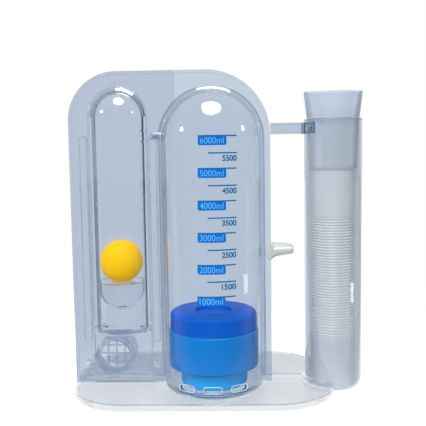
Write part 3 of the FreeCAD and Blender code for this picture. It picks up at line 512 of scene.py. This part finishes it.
class SPIROMETER_OT_beads(bpy.types.Operator):
    """Moulded beads along the flutes, both domes and the rim of the storage tube"""
    bl_idname = "spirometer.beads"
    bl_label = "Moulded beads"

    def execute(self, context):
        clear = clear_plastic("clear_styrene_bead", colours().bead)
        dome = CHAMBER_HIGH.z - CHAMBER_RADIUS - DOME_CREST
        channel = (BALL_LOW.x + BALL_HIGH.x) / 2
        channel_dome = dome + CHANNEL_DOME_RISE
        flutes = [flute_line(channel + side * FLUTE_AWAY, FLUTE_HALF, FLUTE_LOW, dome + FLUTE_RISE, FLUTE_DEPTH)
                  for side in (-1, 1)]
        beads("flute_beads", flutes, 0.62, clear)
        beads("chamber_dome_bead", [arch_line(0, CHAMBER_ARCH, CHAMBER_ARCH_LOW, dome, CHAMBER_ARCH_DEPTH)],
              0.7, clear)
        arch_band("chamber_dome_fillet", 0, dome, [(41.9, 1.3), (44.3, 2.85), (44.3, 3.15), (41.9, 3.15)], clear)
        beads("channel_dome_bead", [arch_line(channel, CHANNEL_ARCH, CHANNEL_ARCH_LOW, channel_dome,
                                              CHANNEL_ARCH_DEPTH)], 0.75, clear)
        arch_band("channel_dome_fillet", channel, channel_dome, [
            (21.9, PANEL_FACE - 2.9), (24.3, PANEL_FACE - 1.35), (24.3, PANEL_FACE - 0.05),
            (21.9, PANEL_FACE - 0.05)], clear)
        ring = [(TUBE_X + a, TUBE_Y + b, TUBE_HIGH.z - 0.45) for a, b in arc(0, 0, 23.6, 0, 360, 96)]
        beads("tube_rim_bead", [ring], 0.45, clear)
        strap_low, strap_high = node_box("holder_strap")
        ribs = [[(strap_low.x + 0.5, strap_low.y + 0.3, z), (strap_high.x - 0.5, strap_low.y + 0.3, z)]
                for z in (strap_low.z + 1.7, strap_high.z - 1.7)]
        beads("strap_ribs", ribs, 0.3, clear)
        slots = []
        for angle in SLOT_TURNS:
            line = []
            for a, b in arc(SLOT_HALF, 0, SLOT_END, -90, 90, 8) + arc(-SLOT_HALF, 0, SLOT_END, 90, 270, 8):
                turn = math.radians(angle) + a / SLOT_RADIUS
                line.append((SLOT_RADIUS * math.sin(turn), -SLOT_RADIUS * math.cos(turn), SLOT_HEIGHT + b))
            slots.append(line + [line[0]])
        # painted highlight: a milky white on the slot rims stands for the glints on their clear edges
        beads("slot_rims", slots, 0.24, milky("painted_highlight_slot_rims", colours().slot_rim_highlight, 0.2, 0.3), sides=8)
        return {"FINISHED"}


# ---------------------------------------------------------------- piston and ball

# Seam of lid and skirt over the lid's lower edge, and the skirt's hem: rise, inner radius, rounding.
SEAM_RISE = 5.0
HEM_RISE = 4.6
HEM_RADIUS = 29.0
HEM_ROUND = 0.8
# Lid: how much narrower than its node, rounding of its edge, radius and depth of the well, lip.
LID_INSET = 0.4
LID_ROUND = 3.6
WELL_RADIUS = 15.5
WELL_DEPTH = 2.4
WELL_LIP = 0.9


class SPIROMETER_OT_piston(bpy.types.Operator):
    """Blue piston: lid with a well, skirt and foot"""
    bl_idname = "spirometer.piston"
    bl_label = "Piston"

    def execute(self, context):
        tints = colours()
        dress(["piston_foot"], moulded("blue_polypropylene_foot", tints.foot, 0.4, shine=0.05))
        skirt_blue = moulded("blue_polypropylene_skirt", tints.piston, 0.22, shine=0.06)
        lid_blue = moulded("blue_polypropylene_lid", tints.lid, 0.3, shine=0.03)
        low, high = node_box("piston_skirt")
        lid_low, lid_high = node_box("piston_lid")
        radius = high.x
        lid_radius = lid_high.x - LID_INSET
        seam = lid_low.z + SEAM_RISE
        hem = low.z + HEM_RISE
        skirt = lathe("skirt_with_shoulder", [(0, low.z + 1), (HEM_RADIUS, low.z + 1), (HEM_RADIUS, hem)]
                      + arc(radius - HEM_ROUND, hem + HEM_ROUND, HEM_ROUND, -90, 0, 4)
                      + [(radius, seam - 1.3), (lid_radius + 0.05, seam - 0.2), (lid_radius - 0.5, seam), (0, seam)],
                      skirt_blue)
        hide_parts("piston_skirt")
        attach(skirt, "piston")
        top = lid_high.z
        lid = lathe("lid_with_well", [(0, seam + 0.05), (lid_radius, seam + 0.05)]
                    + arc(lid_radius - LID_ROUND, top - LID_ROUND, LID_ROUND, 0, 78, 8)
                    + [(WELL_RADIUS + 1.9, top - 0.25)]
                    + arc(WELL_RADIUS + 1.0, top - WELL_LIP, WELL_LIP, 60, 180, 5)
                    + [(WELL_RADIUS, top - 2.0), (WELL_RADIUS - 0.6, top - WELL_DEPTH), (0, top - WELL_DEPTH)],
                    lid_blue)
        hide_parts("piston_lid")
        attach(lid, "piston")
        return {"FINISHED"}


class SPIROMETER_OT_ball(bpy.types.Operator):
    """Yellow flow ball"""
    bl_idname = "spirometer.ball"
    bl_label = "Flow ball"

    def execute(self, context):
        # painted light: the ball gives off a little light of its own yellow, so it stays bright where little light
        # reaches it
        dress(["flow_ball"], moulded("yellow_polypropylene_painted_glow", colours().ball, 0.45, shine=0.05,
                                     inner=0.3, glow=0.5))
        return {"FINISHED"}


# ---------------------------------------------------------------- hose and mouthpiece

def new_tree(name, inputs):
    """Geometry Nodes tree with inputs (name, kind, default) and a Finish, and the sockets they give."""
    tree = bpy.data.node_groups.new(name, "GeometryNodeTree")
    for label, kind, default in inputs + [("Finish", "Material", None)]:
        made = tree.interface.new_socket(name=label, in_out="INPUT", socket_type="NodeSocket" + kind)
        if default is not None:
            made.default_value = default
    tree.interface.new_socket(name="Geometry", in_out="OUTPUT", socket_type="NodeSocketGeometry")
    return tree, add(tree, "NodeGroupInput").outputs


def end_tree(tree, shape, given):
    """Make the instances of a tree real, give them its Finish and put them out."""
    real = add(tree, "GeometryNodeRealizeInstances", [("Geometry", shape)])
    done = add(tree, "GeometryNodeSetMaterial", [("Geometry", real.outputs[0]), ("Material", given["Finish"])])
    add(tree, "NodeGroupOutput", [("Geometry", done.outputs[0])])
    return tree


def corrugated_tree():
    """Geometry Nodes tree for a tube whose wall waves along its length, with smooth ends."""
    tree, given = new_tree("corrugated_hose", [
        ("Low", "Float", 0.0), ("High", "Float", 0.2), ("Rib Start", "Float", 0.05), ("Rib End", "Float", 0.15),
        ("Pitch", "Float", 0.0024), ("Radius", "Float", 0.019), ("Depth", "Float", 0.001),
        ("Rows", "Int", 400), ("Sides", "Int", 72)])
    grid = add(tree, "GeometryNodeMeshGrid", [("Vertices X", given["Sides"]), ("Vertices Y", given["Rows"])],
               values=[("Size X", 1.0), ("Size Y", 1.0)])
    where = add(tree, "ShaderNodeSeparateXYZ", [(0, add(tree, "GeometryNodeInputPosition").outputs[0])]).outputs
    turn = maths(tree, "MULTIPLY", maths(tree, "ADD", where["X"], 0.5), 2 * math.pi)
    share = maths(tree, "ADD", where["Y"], 0.5)
    length = maths(tree, "SUBTRACT", given["High"], given["Low"])
    height = maths(tree, "MULTIPLY_ADD", share, length, given["Low"])
    inside = maths(tree, "MULTIPLY", maths(tree, "GREATER_THAN", height, given["Rib Start"]),
                   maths(tree, "LESS_THAN", height, given["Rib End"]))
    ribs = maths(tree, "DIVIDE", maths(tree, "SUBTRACT", height, given["Rib Start"]), given["Pitch"])
    wave = maths(tree, "MULTIPLY_ADD", maths(tree, "COSINE", maths(tree, "MULTIPLY", ribs, 2 * math.pi)), 0.5, 0.5)
    # the power makes the valleys narrower than the ribs
    valley = maths(tree, "POWER", wave, 1.3)
    dip = maths(tree, "MULTIPLY", maths(tree, "MULTIPLY", valley, given["Depth"]), inside)
    radius = maths(tree, "SUBTRACT", given["Radius"], dip)
    place = add(tree, "ShaderNodeCombineXYZ", [("X", maths(tree, "MULTIPLY", radius, maths(tree, "COSINE", turn))),
                                               ("Y", maths(tree, "MULTIPLY", radius, maths(tree, "SINE", turn))),
                                               ("Z", height)])
    moved = add(tree, "GeometryNodeSetPosition", [("Geometry", grid.outputs["Mesh"]),
                                                  ("Position", place.outputs[0])])
    joined = add(tree, "GeometryNodeMergeByDistance", [("Geometry", moved.outputs[0])],
                 values=[("Distance", 0.01 * MM)])
    return end_tree(tree, joined.outputs[0], given)


def bead_tree():
    """Geometry Nodes tree that lays a round bead of plastic along drawn lines."""
    tree, given = new_tree("bead_along_lines", [
        ("Lines", "Geometry", None), ("Radius", "Float", 0.001), ("Sides", "Int", 16)])
    path = add(tree, "GeometryNodeMeshToCurve", [("Mesh", given["Lines"])])
    ring = add(tree, "GeometryNodeCurvePrimitiveCircle", [("Resolution", given["Sides"]),
                                                          ("Radius", given["Radius"])])
    bead = add(tree, "GeometryNodeCurveToMesh", [("Curve", path.outputs[0]), ("Profile Curve", ring.outputs[0])],
               values=[("Fill Caps", True)])
    return end_tree(tree, bead.outputs[0], given)


def marks_tree():
    """Geometry Nodes tree that repeats one printed mark down the chamber, each a little further round."""
    tree, given = new_tree("marks_down_chamber", [
        ("Mark", "Geometry", None), ("Count", "Int", 6), ("Pitch", "Float", 0.025), ("Turn", "Float", 0.0)])
    step = add(tree, "ShaderNodeCombineXYZ", [("Z", maths(tree, "MULTIPLY", given["Pitch"], -1.0))])
    line = add(tree, "GeometryNodeMeshLine", [("Count", given["Count"]), ("Offset", step.outputs[0])])
    index = add(tree, "GeometryNodeInputIndex")
    turn = add(tree, "ShaderNodeCombineXYZ", [("Z", maths(tree, "MULTIPLY", index.outputs[0], given["Turn"]))])
    placed = add(tree, "GeometryNodeInstanceOnPoints", [("Points", line.outputs[0]), ("Instance", given["Mark"]),
                                                        ("Rotation", turn.outputs[0])])
    return end_tree(tree, placed.outputs[0], given)


def set_inputs(modifier, tree, values):
    """Set a Geometry Nodes modifier's inputs by the identifiers of its sockets."""
    for item in tree.interface.items_tree:
        if item.item_type == "SOCKET" and item.in_out == "INPUT" and item.name in values:
            modifier[item.identifier] = values[item.name]


def grown(holder, tree, values, name):
    """Plain mesh object that a Geometry Nodes tree makes out of a holder object."""
    modifier = holder.modifiers.new(name, "NODES")
    modifier.node_group = tree
    set_inputs(modifier, tree, values)
    made = plain_mesh(holder, name)
    body = bmesh.new()
    body.from_mesh(made.data)
    bmesh.ops.recalc_face_normals(body, faces=body.faces)
    body.to_mesh(made.data)
    body.free()
    made.data.shade_smooth()
    return made


def lines_object(name, lines):
    """Holder object whose edges are drawn lines, in millimetres. A line that ends where it starts is closed."""
    points = []
    edges = []
    for line in lines:
        closed = (Vector(line[0]) - Vector(line[-1])).length < 0.001
        line = line[:-1] if closed else line
        start = len(points)
        points += [Vector(p) * MM for p in line]
        edges += [(start + i, start + i + 1) for i in range(len(line) - 1)]
        if closed:
            edges.append((start + len(line) - 1, start))
    mesh = bpy.data.meshes.new(name)
    mesh.from_pydata(points, edges, [])
    return linked(name, mesh)


def beads(name, lines, radius, material, body="housing", sides=16):
    """Round beads along lines, as one piece that rides a body."""
    made = grown(lines_object(name + "_lines", lines), bead_tree(),
                 {"Radius": radius * MM, "Sides": sides, "Finish": material}, name)
    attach(made, body)
    return made


class SPIROMETER_OT_hose(bpy.types.Operator):
    """Ribbed breathing hose, stored upright in the tube"""
    bl_idname = "spirometer.hose"
    bl_label = "Breathing hose"

    def execute(self, context):
        low, high = node_box("breathing_hose")
        radius = (high.x - low.x) / 2
        wall = 1.2
        cuff_low = 44.8
        rib_start = low.z + cuff_low
        rib_end = rib_start + sizes().rib_pitch / MM * sizes().rib_count
        # below its ribs the hose takes the cuff colour, a darker grey
        finish = milky("milky_polyethylene", colours().hose, 0.3, 0.5, lower_colour=colours().cuff, border=rib_start)
        holder = lines_object("hose_holder", [[(0, 0, 0), (0, 0, 1)]])
        hose = grown(holder, corrugated_tree(), {
            "Low": low.z * MM, "High": high.z * MM, "Rib Start": rib_start * MM, "Rib End": rib_end * MM,
            "Pitch": sizes().rib_pitch, "Radius": radius * MM, "Depth": sizes().rib_depth,
            "Rows": 560, "Sides": 73, "Finish": finish}, "ribbed_hose")
        hose.data.transform(Matrix.Translation((TUBE_X * MM, TUBE_Y * MM, 0)))
        thick = hose.modifiers.new("wall", "SOLIDIFY")
        thick.thickness = wall * MM
        thick.offset = -1
        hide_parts("breathing_hose")
        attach(hose, "hose")
        return {"FINISHED"}


def mouth_ring(half, half_depth, power, z, sides):
    """One ring of the mouthpiece, between a round and a flattened section."""
    ring = []
    for i in range(sides):
        angle = 2 * math.pi * i / sides
        c, s = math.cos(angle), math.sin(angle)
        ring.append((TUBE_X + half * math.copysign(abs(c) ** power, c),
                     TUBE_Y + half_depth * math.copysign(abs(s) ** power, s), z))
    return ring


class SPIROMETER_OT_mouthpiece(bpy.types.Operator):
    """Flared mouthpiece that stands out of the storage tube"""
    bl_idname = "spirometer.mouthpiece"
    bl_label = "Mouthpiece"

    def execute(self, context):
        low, high = node_box("mouthpiece")
        tube_top = TUBE_HIGH.z
        wall = 1.3
        sides = 128
        # half width, half depth, power of the section, height
        stations = [
            (20.6, 20.6, 1.0, low.z + 10.0),
            (20.6, 20.6, 1.0, low.z + 13.2),
            (20.35, 20.35, 1.0, low.z + 14.0),
            (22.3, 18.5, 0.97, tube_top),
            (23.7, 15.6, 0.9, tube_top + 12),
            (24.75, 12.7, 0.82, high.z - 3.4),
            (24.9, 12.5, 0.8, high.z - 2.0),
            (24.6, 12.2, 0.8, high.z - 1.3),
        ]
        rings = [mouth_ring(a, b, p, z, sides) for a, b, p, z in stations]
        rings += [mouth_ring(a - wall, b - wall, p, z, sides) for a, b, p, z in reversed(stations)]
        points = [point for ring in rings for point in ring]
        faces = []
        for j in range(len(rings)):
            k = (j + 1) % len(rings)
            for i in range(sides):
                n = (i + 1) % sides
                faces.append((j * sides + i, j * sides + n, k * sides + n, k * sides + i))
        # painted light: below the tube's top the mouthpiece is paler, making up for the light the tube takes
        material = milky("frosted_polypropylene", colours().mouthpiece, 0.35, 0.55,
                         lower_colour=colours().socket, border=tube_top)
        made = mesh_object("flared_mouthpiece", points, faces, material)
        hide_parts("mouthpiece")
        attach(made, "mouth")
        return {"FINISHED"}


# ---------------------------------------------------------------- goal pointer

class SPIROMETER_OT_pointer(bpy.types.Operator):
    """White goal pointer on the panel edge"""
    bl_idname = "spirometer.pointer"
    bl_label = "Goal pointer"

    def execute(self, context):
        low, high = node_box("goal_pointer")
        white = moulded("white_acetal", colours().pointer, 0.3, shine=0.3)
        edge = low.x + 4.7
        # sections of the tab: x, top and lower edge of its front, depth of its back, rise of the back's top
        tab = []
        for x, top, bottom, back, rise in (
                (edge, 11.4, 1.2, 8.6, 4.7), (edge + 1.6, 11.4, 3.0, 9.0, 4.9), (edge + 4, 11.5, 4.4, 9.2, 4.9),
                (edge + 8, 11.7, 5.0, 9.2, 4.7), (edge + 13, 12.0, 5.6, 9.0, 3.9),
                (edge + 16.8, 12.3, 6.3, 8.6, 2.7), (edge + 18.1, 12.1, 6.9, 8.0, 2.3),
                (edge + 18.8, 11.5, 7.8, 7.2, 1.8)):
            shape = [(0.5, top - 0.5), (1.3, top + 0.25), (back - 1.4, top + rise - 0.7),
                     (back - 0.6, top + rise - 0.9), (back, top + rise - 1.8), (back - 0.6, bottom + 2.6),
                     (3.2, bottom), (1.1, bottom + 0.9), (0.2, bottom + 2.4), (0.1, top - 1.6)]
            tab.append([(x, low.y + y, low.z + z) for y, z in shape])
        points = [p for ring in tab for p in ring]
        count = len(tab[0])
        faces = [tuple(range(count)), tuple(len(points) - 1 - i for i in range(count))]
        for j in range(len(tab) - 1):
            faces += [(j * count + i, j * count + (i + 1) % count, (j + 1) * count + (i + 1) % count,
                       (j + 1) * count + i) for i in range(count)]
        blade = mesh_object("pointer_blade", points, faces, white)
        fin = prism("pointer_fin", [(2.1, 14.2), (4.9, 12.0), (7.2, 10.9), (5.0, 5.0), (3.7, 1.1), (1.6, 2.9),
                                    (0.0, 5.0)], low.x, low.z, low.y, low.y + 2.4, white, 0.5)
        jaw = prism("pointer_jaw", [(1.6, 3.4), (6.5, 3.4), (6.5, 13.0), (3.4, 13.0), (1.6, 9.0)], low.x, low.z,
                    high.y - 2.0, high.y, white, 0.4)
        web = prism("pointer_web", [(5.0, 3.8), (6.6, 3.8), (6.6, 12.6), (5.0, 12.6)], low.x, low.z,
                    low.y + 1.2, high.y - 0.4, white, 0.0)
        for other in (fin, jaw, web):
            unite(blade, other)
        blade.name = "sculpted_pointer"
        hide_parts("goal_pointer")
        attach(blade, "pointer")
        return {"FINISHED"}


# ---------------------------------------------------------------- scale print

# Print: height over the chamber's wall, top mark, then the places of its parts across and down.
PRINT_RISE = 0.06
SCALE_TOP = 219.5
LABEL_LEFT = -9.0
LABEL_WIDTH = 22.4
LABEL_HEIGHT = 8.3
RULE_END = 21.3
RULE_WIDTH = 1.1
HALF_DROP = 13.9
HALF_START = -1.2


def wrap(mesh, turn=0.0):
    """Wrap a flat print, drawn in x and z in millimetres, round the front of the chamber."""
    for vertex in mesh.vertices:
        x, y, z = vertex.co
        radius = CHAMBER_RADIUS + PRINT_RISE + y
        angle = math.asin(max(-0.99, min(0.99, x / (CHAMBER_RADIUS + PRINT_RISE)))) + turn
        vertex.co = Vector((radius * math.sin(angle), -radius * math.cos(angle), z)) * MM


def strip_points(left, right, low, high, corner=0.0, step=0.8):
    """Columns of a flat strip with rounded corners: (x, low z, high z)."""
    columns = max(2, int((right - left) / step))
    places = [left + (right - left) * i / columns for i in range(columns + 1)]
    if corner:
        places += [left + corner * t for t in (0.1, 0.3, 0.6, 1.0)]
        places += [right - corner * t for t in (0.1, 0.3, 0.6, 1.0)]
    made = []
    for x in sorted(set(places)):
        edge = min(x - left, right - x)
        inset = 0.0
        if corner and edge < corner:
            inset = corner - math.sqrt(max(0.0, corner ** 2 - (corner - edge) ** 2))
        made.append((x, low + inset, high - inset))
    return made


def strip(name, columns, material):
    """Thin printed strip from its columns, wrapped on the chamber."""
    points = []
    faces = []
    for x, low, high in columns:
        points += [(x, 0.0, low), (x, 0.0, high)]
    for i in range(len(columns) - 1):
        a = 2 * i
        faces.append((a, a + 2, a + 3, a + 1))
    mesh = bpy.data.meshes.new(name)
    mesh.from_pydata(points, [], faces)
    wrap(mesh)
    mesh.materials.append(material)
    return linked(name, mesh)


def number(text, size, right, low, material, rise, bold=0.0, left=None, turn=0.0):
    """Plain digits, wrapped on the chamber, set flush right, or fitted between left and right."""
    curve = bpy.data.curves.new("digits", "FONT")
    curve.body = text
    curve.size = size
    curve.offset = bold
    made = plain_mesh(linked("digits", curve), "scale_number_" + text)
    xs = [v.co.x for v in made.data.vertices]
    ys = [v.co.y for v in made.data.vertices]
    span = max(xs) - min(xs)
    stretch = 1.0 if left is None else (right - left) / span
    body = bmesh.new()
    body.from_mesh(made.data)
    bmesh.ops.triangulate(body, faces=body.faces)
    body.to_mesh(made.data)
    body.free()
    high = max(ys)
    ground = min(ys)
    for vertex in made.data.vertices:
        x = right - (max(xs) - vertex.co.x) * stretch
        z = low + (vertex.co.y - ground) * size / (high - ground)
        vertex.co = (x, rise, z)
    wrap(made.data, turn)
    made.data.materials.clear()
    made.data.materials.append(material)
    return made


def join(pieces, name):
    """Join mesh objects into the first."""
    with bpy.context.temp_override(active_object=pieces[0], selected_editable_objects=pieces):
        bpy.ops.object.join()
    pieces[0].name = name
    return pieces[0]


class SPIROMETER_OT_scale(bpy.types.Operator):
    """Blue scale on the chamber: labels, rules and plain numbers"""
    bl_idname = "spirometer.scale"
    bl_label = "Scale print"

    def execute(self, context):
        tints = colours()
        pitch = sizes().mark_pitch / MM
        label = moulded("pad_print_label", tints.label, 0.45, vary=0.06, shine=0.1)
        digit = moulded("pad_print_light", tints.digits, 0.45, vary=0.05, shine=0.1)
        rule = moulded("pad_print_rule", tints.rules, 0.45, vary=0.06, shine=0.1)
        turn = sizes().print_turn
        top = SCALE_TOP
        label_strip = strip("label", strip_points(LABEL_LEFT, LABEL_LEFT + LABEL_WIDTH,
                                                  top - LABEL_HEIGHT + 0.45, top - 0.75, 1.5), label)
        rule_strip = strip("rule", strip_points(LABEL_LEFT, RULE_END, top - 1.05, top + RULE_WIDTH - 1.05), rule)
        middle = top - HALF_DROP
        half_strip = strip("half_rule", strip_points(HALF_START, RULE_END, middle - RULE_WIDTH / 2,
                                                     middle + RULE_WIDTH / 2), rule)
        tree = marks_tree()
        made = []
        for holder, count, finish, name in ((label_strip, 6, label, "scale_labels"),
                                            (rule_strip, 6, rule, "scale_rules"),
                                            (half_strip, 5, rule, "scale_half_rules")):
            made.append(grown(holder, tree, {"Count": count, "Pitch": pitch * MM, "Turn": turn, "Finish": finish},
                              name))
        light = [number("%dml" % (6000 - 1000 * i), 5.0, LABEL_LEFT + 20.4, top - 6.6 - pitch * i, digit, 0.08,
                        bold=0.02, left=LABEL_LEFT + 1.8, turn=turn * i) for i in range(6)]
        small = [number("%d" % (5500 - 1000 * i), 4.8, RULE_END, middle - 6.5 - pitch * i, rule, 0.0,
                        bold=0.17, left=RULE_END - 11.3, turn=turn * i) for i in range(5)]
        made += [join(light, "scale_label_numbers"), join(small, "scale_half_numbers")]
        for piece in made:
            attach(piece, "housing")
        return {"FINISHED"}


# ---------------------------------------------------------------- stage

def camera_axes():
    """Right, up and forward of the photograph's camera."""
    yaw, pitch, roll = (math.radians(v) for v in (CAMERA_YAW, CAMERA_PITCH, CAMERA_ROLL))
    forward = Vector((math.sin(yaw) * math.cos(pitch), math.cos(yaw) * math.cos(pitch), math.sin(pitch)))
    level = Vector((math.cos(yaw), -math.sin(yaw), 0))
    raised = level.cross(forward)
    return (level * math.cos(roll) + raised * math.sin(roll),
            raised * math.cos(roll) - level * math.sin(roll), forward)


def softbox(name, azimuth, elevation, distance, width, height, power, aim,
            only_gloss=False, no_gloss=False, shape="RECTANGLE"):
    """Area lamp that faces a point, from an azimuth right of the front and an elevation in degrees.
    Its distance, width and height are in metres, its power in watts."""
    a, e = math.radians(azimuth), math.radians(elevation)
    direction = Vector((math.sin(a) * math.cos(e), -math.cos(a) * math.cos(e), math.sin(e)))
    lamp = bpy.data.lights.new(name, "AREA")
    lamp.shape = shape
    lamp.size = width
    lamp.size_y = height
    lamp.energy = power
    made = linked(name, lamp)
    made.location = Vector(aim) * MM + direction * distance
    made.rotation_euler = direction.to_track_quat("Z", "Y").to_euler()
    made.visible_diffuse = not only_gloss
    made.visible_glossy = not no_gloss
    made.visible_transmission = False
    return made


def mirrored(tree, path):
    """1 for a ray that a surface mirrors; a bent ray has the glossy mark too, so that is taken off."""
    return maths(tree, "GREATER_THAN",
                 maths(tree, "SUBTRACT", path["Is Glossy Ray"], path["Is Transmission Ray"]), 0.5)


def white_surround():
    """World that the camera sees white. A mirrored ray sees it bright behind the part and overhead
    and a dim room behind the camera; a bent ray sees it a little dimmer in front."""
    world = bpy.data.worlds.new("white_surround")
    world.use_nodes = True
    tree = world.node_tree
    tree.nodes.clear()
    path = add(tree, "ShaderNodeLightPath").outputs
    where = apart(tree, "Generated")
    room = ramp(tree, where["Y"], 0.3, 0.9, 0.03, 0.55, smooth=True)
    ceiling = ramp(tree, where["Z"], 0.3, 0.8, 0.03, 0.45, smooth=True)
    bent = ramp(tree, where["Y"], -0.1, 0.8, 0.68, 1.0, smooth=True)
    walls = maths(tree, "MAXIMUM", room, ceiling)
    level = maths(tree, "MAXIMUM", path["Is Camera Ray"],
                  maths(tree, "MULTIPLY", path["Is Transmission Ray"], bent))
    level = maths(tree, "MAXIMUM", level, maths(tree, "MULTIPLY", mirrored(tree, path), walls))
    level = maths(tree, "MAXIMUM", level, maths(tree, "MULTIPLY", path["Is Diffuse Ray"], FILL))
    glow = add(tree, "ShaderNodeBackground", [("Strength", level)], values=[("Color", (1, 1, 1, 1))])
    add(tree, "ShaderNodeOutputWorld", [("Surface", glow.outputs[0])])
    return world


def white_table():
    """Matte pale table that goes over into the white surround away from the part."""
    material, tree = new_material("matte_white_table")
    path = add(tree, "ShaderNodeLightPath").outputs
    place = add(tree, "ShaderNodeTexCoord").outputs["Object"]
    where = add(tree, "ShaderNodeSeparateXYZ", [(0, place)]).outputs
    # a mirrored ray sees the table fade towards the camera
    room = ramp(tree, where["Y"], -150 * MM, -60 * MM, 0.04, 1.0, smooth=True)
    dim = maths(tree, "SUBTRACT", 1.0, maths(tree, "MULTIPLY", mirrored(tree, path),
                                             maths(tree, "SUBTRACT", 1.0, room)))
    # a ray turned back inside a wall leaves it as bent light, and finds the front and the sides dimmer
    front = ramp(tree, where["Y"], -200 * MM, -105 * MM, 0.6, 1.0, smooth=True)
    aside = maths(tree, "SUBTRACT", maths(tree, "ABSOLUTE", where["X"]), maths(tree, "MULTIPLY", where["Y"], 0.4))
    side = ramp(tree, aside, 125 * MM, 200 * MM, 1.0, 0.68, smooth=True)
    sweep = maths(tree, "MULTIPLY", front, side)
    dim = maths(tree, "MULTIPLY", dim, maths(tree, "MAXIMUM", sweep, path["Is Camera Ray"]))
    straight = maths(tree, "MAXIMUM", path["Is Camera Ray"], path["Is Transmission Ray"])
    seen = maths(tree, "MAXIMUM", straight, path["Is Glossy Ray"])
    matte = add(tree, "ShaderNodeBsdfDiffuse", [("Color", ramp(tree, noise(tree, TABLE_GRAIN), 0, 1, 0.78, 0.82))])
    near = add(tree, "ShaderNodeEmission", [("Strength", maths(tree, "MULTIPLY", seen, FLOOR_GLOW))],
               values=[("Color", (1, 1, 1, 1))])
    lit = add(tree, "ShaderNodeAddShader", [(0, matte.outputs[0]), (1, near.outputs[0])])
    far = add(tree, "ShaderNodeEmission", [("Strength", maths(tree, "MULTIPLY", seen, dim))],
              values=[("Color", (1, 1, 1, 1))])
    reach = add(tree, "ShaderNodeVectorMath", [(0, place)], [("operation", "LENGTH")])
    away = ramp(tree, reach.outputs["Value"], 180 * MM, 420 * MM, smooth=True)
    # mirrors and clear walls take the plain white, so that no far edge of the table shows in them
    plain = maths(tree, "MAXIMUM", away, maths(tree, "SUBTRACT", seen, path["Is Camera Ray"]))
    both = add(tree, "ShaderNodeMixShader", [("Fac", plain), (1, lit.outputs[0]), (2, far.outputs[0])])
    add(tree, "ShaderNodeOutputMaterial", [("Surface", both.outputs[0])])
    return material


class SPIROMETER_OT_stage(bpy.types.Operator):
    """Pale floor, white surround, soft lamps and the photograph's camera"""
    bl_idname = "spirometer.stage"
    bl_label = "Stage"

    def execute(self, context):
        scene = context.scene
        scene.view_settings.view_transform = "Standard"
        right, up, forward = camera_axes()
        camera = bpy.data.cameras.new("camera")
        camera.lens = CAMERA_LENS
        camera.sensor_width = CAMERA_SENSOR
        viewer = linked("camera", camera)
        turn = Matrix((right, up, -forward)).transposed()
        viewer.matrix_world = Matrix.Translation(Vector(CAMERA_PLACE) * MM) @ turn.to_4x4()
        scene.camera = viewer
        scene.world = white_surround()
        span = TABLE_SPAN
        floor = mesh_object("floor", [(-span, -span, 0), (span, -span, 0), (span, span, 0), (-span, span, 0)],
                            [(0, 1, 2, 3)], white_table())
        dome = (0, 0, 240)
        softbox("overhead_softbox_gloss", 6, 71, 0.7, 0.46, 0.5, 16.0, dome, only_gloss=True, shape="ELLIPSE")
        softbox("overhead_fill", 0, 80, 0.9, 0.5, 0.5, 3.2, dome, no_gloss=True)
        # a low window on the right: upright streaks on the chamber and the tube
        window = softbox("low_right_window", 79, -11, 0.41, 0.08, 0.026, 0.06, (0, 0, 103), only_gloss=True)
        window.visible_camera = False
        softbox("front_softbox", -18, 34, 1.5, 1.1, 0.9, 24.0, dome, no_gloss=True)
        softbox("left_lamp", -69, 17, 0.9, 0.15, 0.15, 3.6, dome, only_gloss=True, shape="ELLIPSE")
        softbox("right_lamp", 81, 17, 0.9, 0.15, 0.15, 3.6, dome, only_gloss=True, shape="ELLIPSE")
        return {"FINISHED"}


# ---------------------------------------------------------------- panel and registration

OPERATORS = [
    SPIROMETER_OT_stage,
    SPIROMETER_OT_housing,
    SPIROMETER_OT_beads,
    SPIROMETER_OT_piston,
    SPIROMETER_OT_ball,
    SPIROMETER_OT_hose,
    SPIROMETER_OT_mouthpiece,
    SPIROMETER_OT_pointer,
    SPIROMETER_OT_scale,
]


class SPIROMETER_PT_panel(bpy.types.Panel):
    """Sizes, colours and pieces of the spirometer"""
    bl_label = "Spirometer"
    bl_space_type = "VIEW_3D"
    bl_region_type = "UI"
    bl_category = "Spirometer"

    def draw(self, context):
        for group in (context.scene.spirometer_sizes, context.scene.spirometer_colours):
            for name in group.__annotations__:
                self.layout.prop(group, name)
        for operator in OPERATORS:
            self.layout.operator(operator.bl_idname)


CLASSES = [SpirometerColours, SpirometerSizes, SPIROMETER_PT_panel] + OPERATORS


def register():
    for item in CLASSES:
        bpy.utils.register_class(item)
    bpy.types.Scene.spirometer_colours = bpy.props.PointerProperty(type=SpirometerColours)
    bpy.types.Scene.spirometer_sizes = bpy.props.PointerProperty(type=SpirometerSizes)


def unregister():
    del bpy.types.Scene.spirometer_sizes
    del bpy.types.Scene.spirometer_colours
    for item in reversed(CLASSES):
        bpy.utils.unregister_class(item)


def main():
    register()
    for operator in OPERATORS:
        group, name = operator.bl_idname.split(".")
        getattr(getattr(bpy.ops, group), name)()


if __name__ == "__main__":
    main()
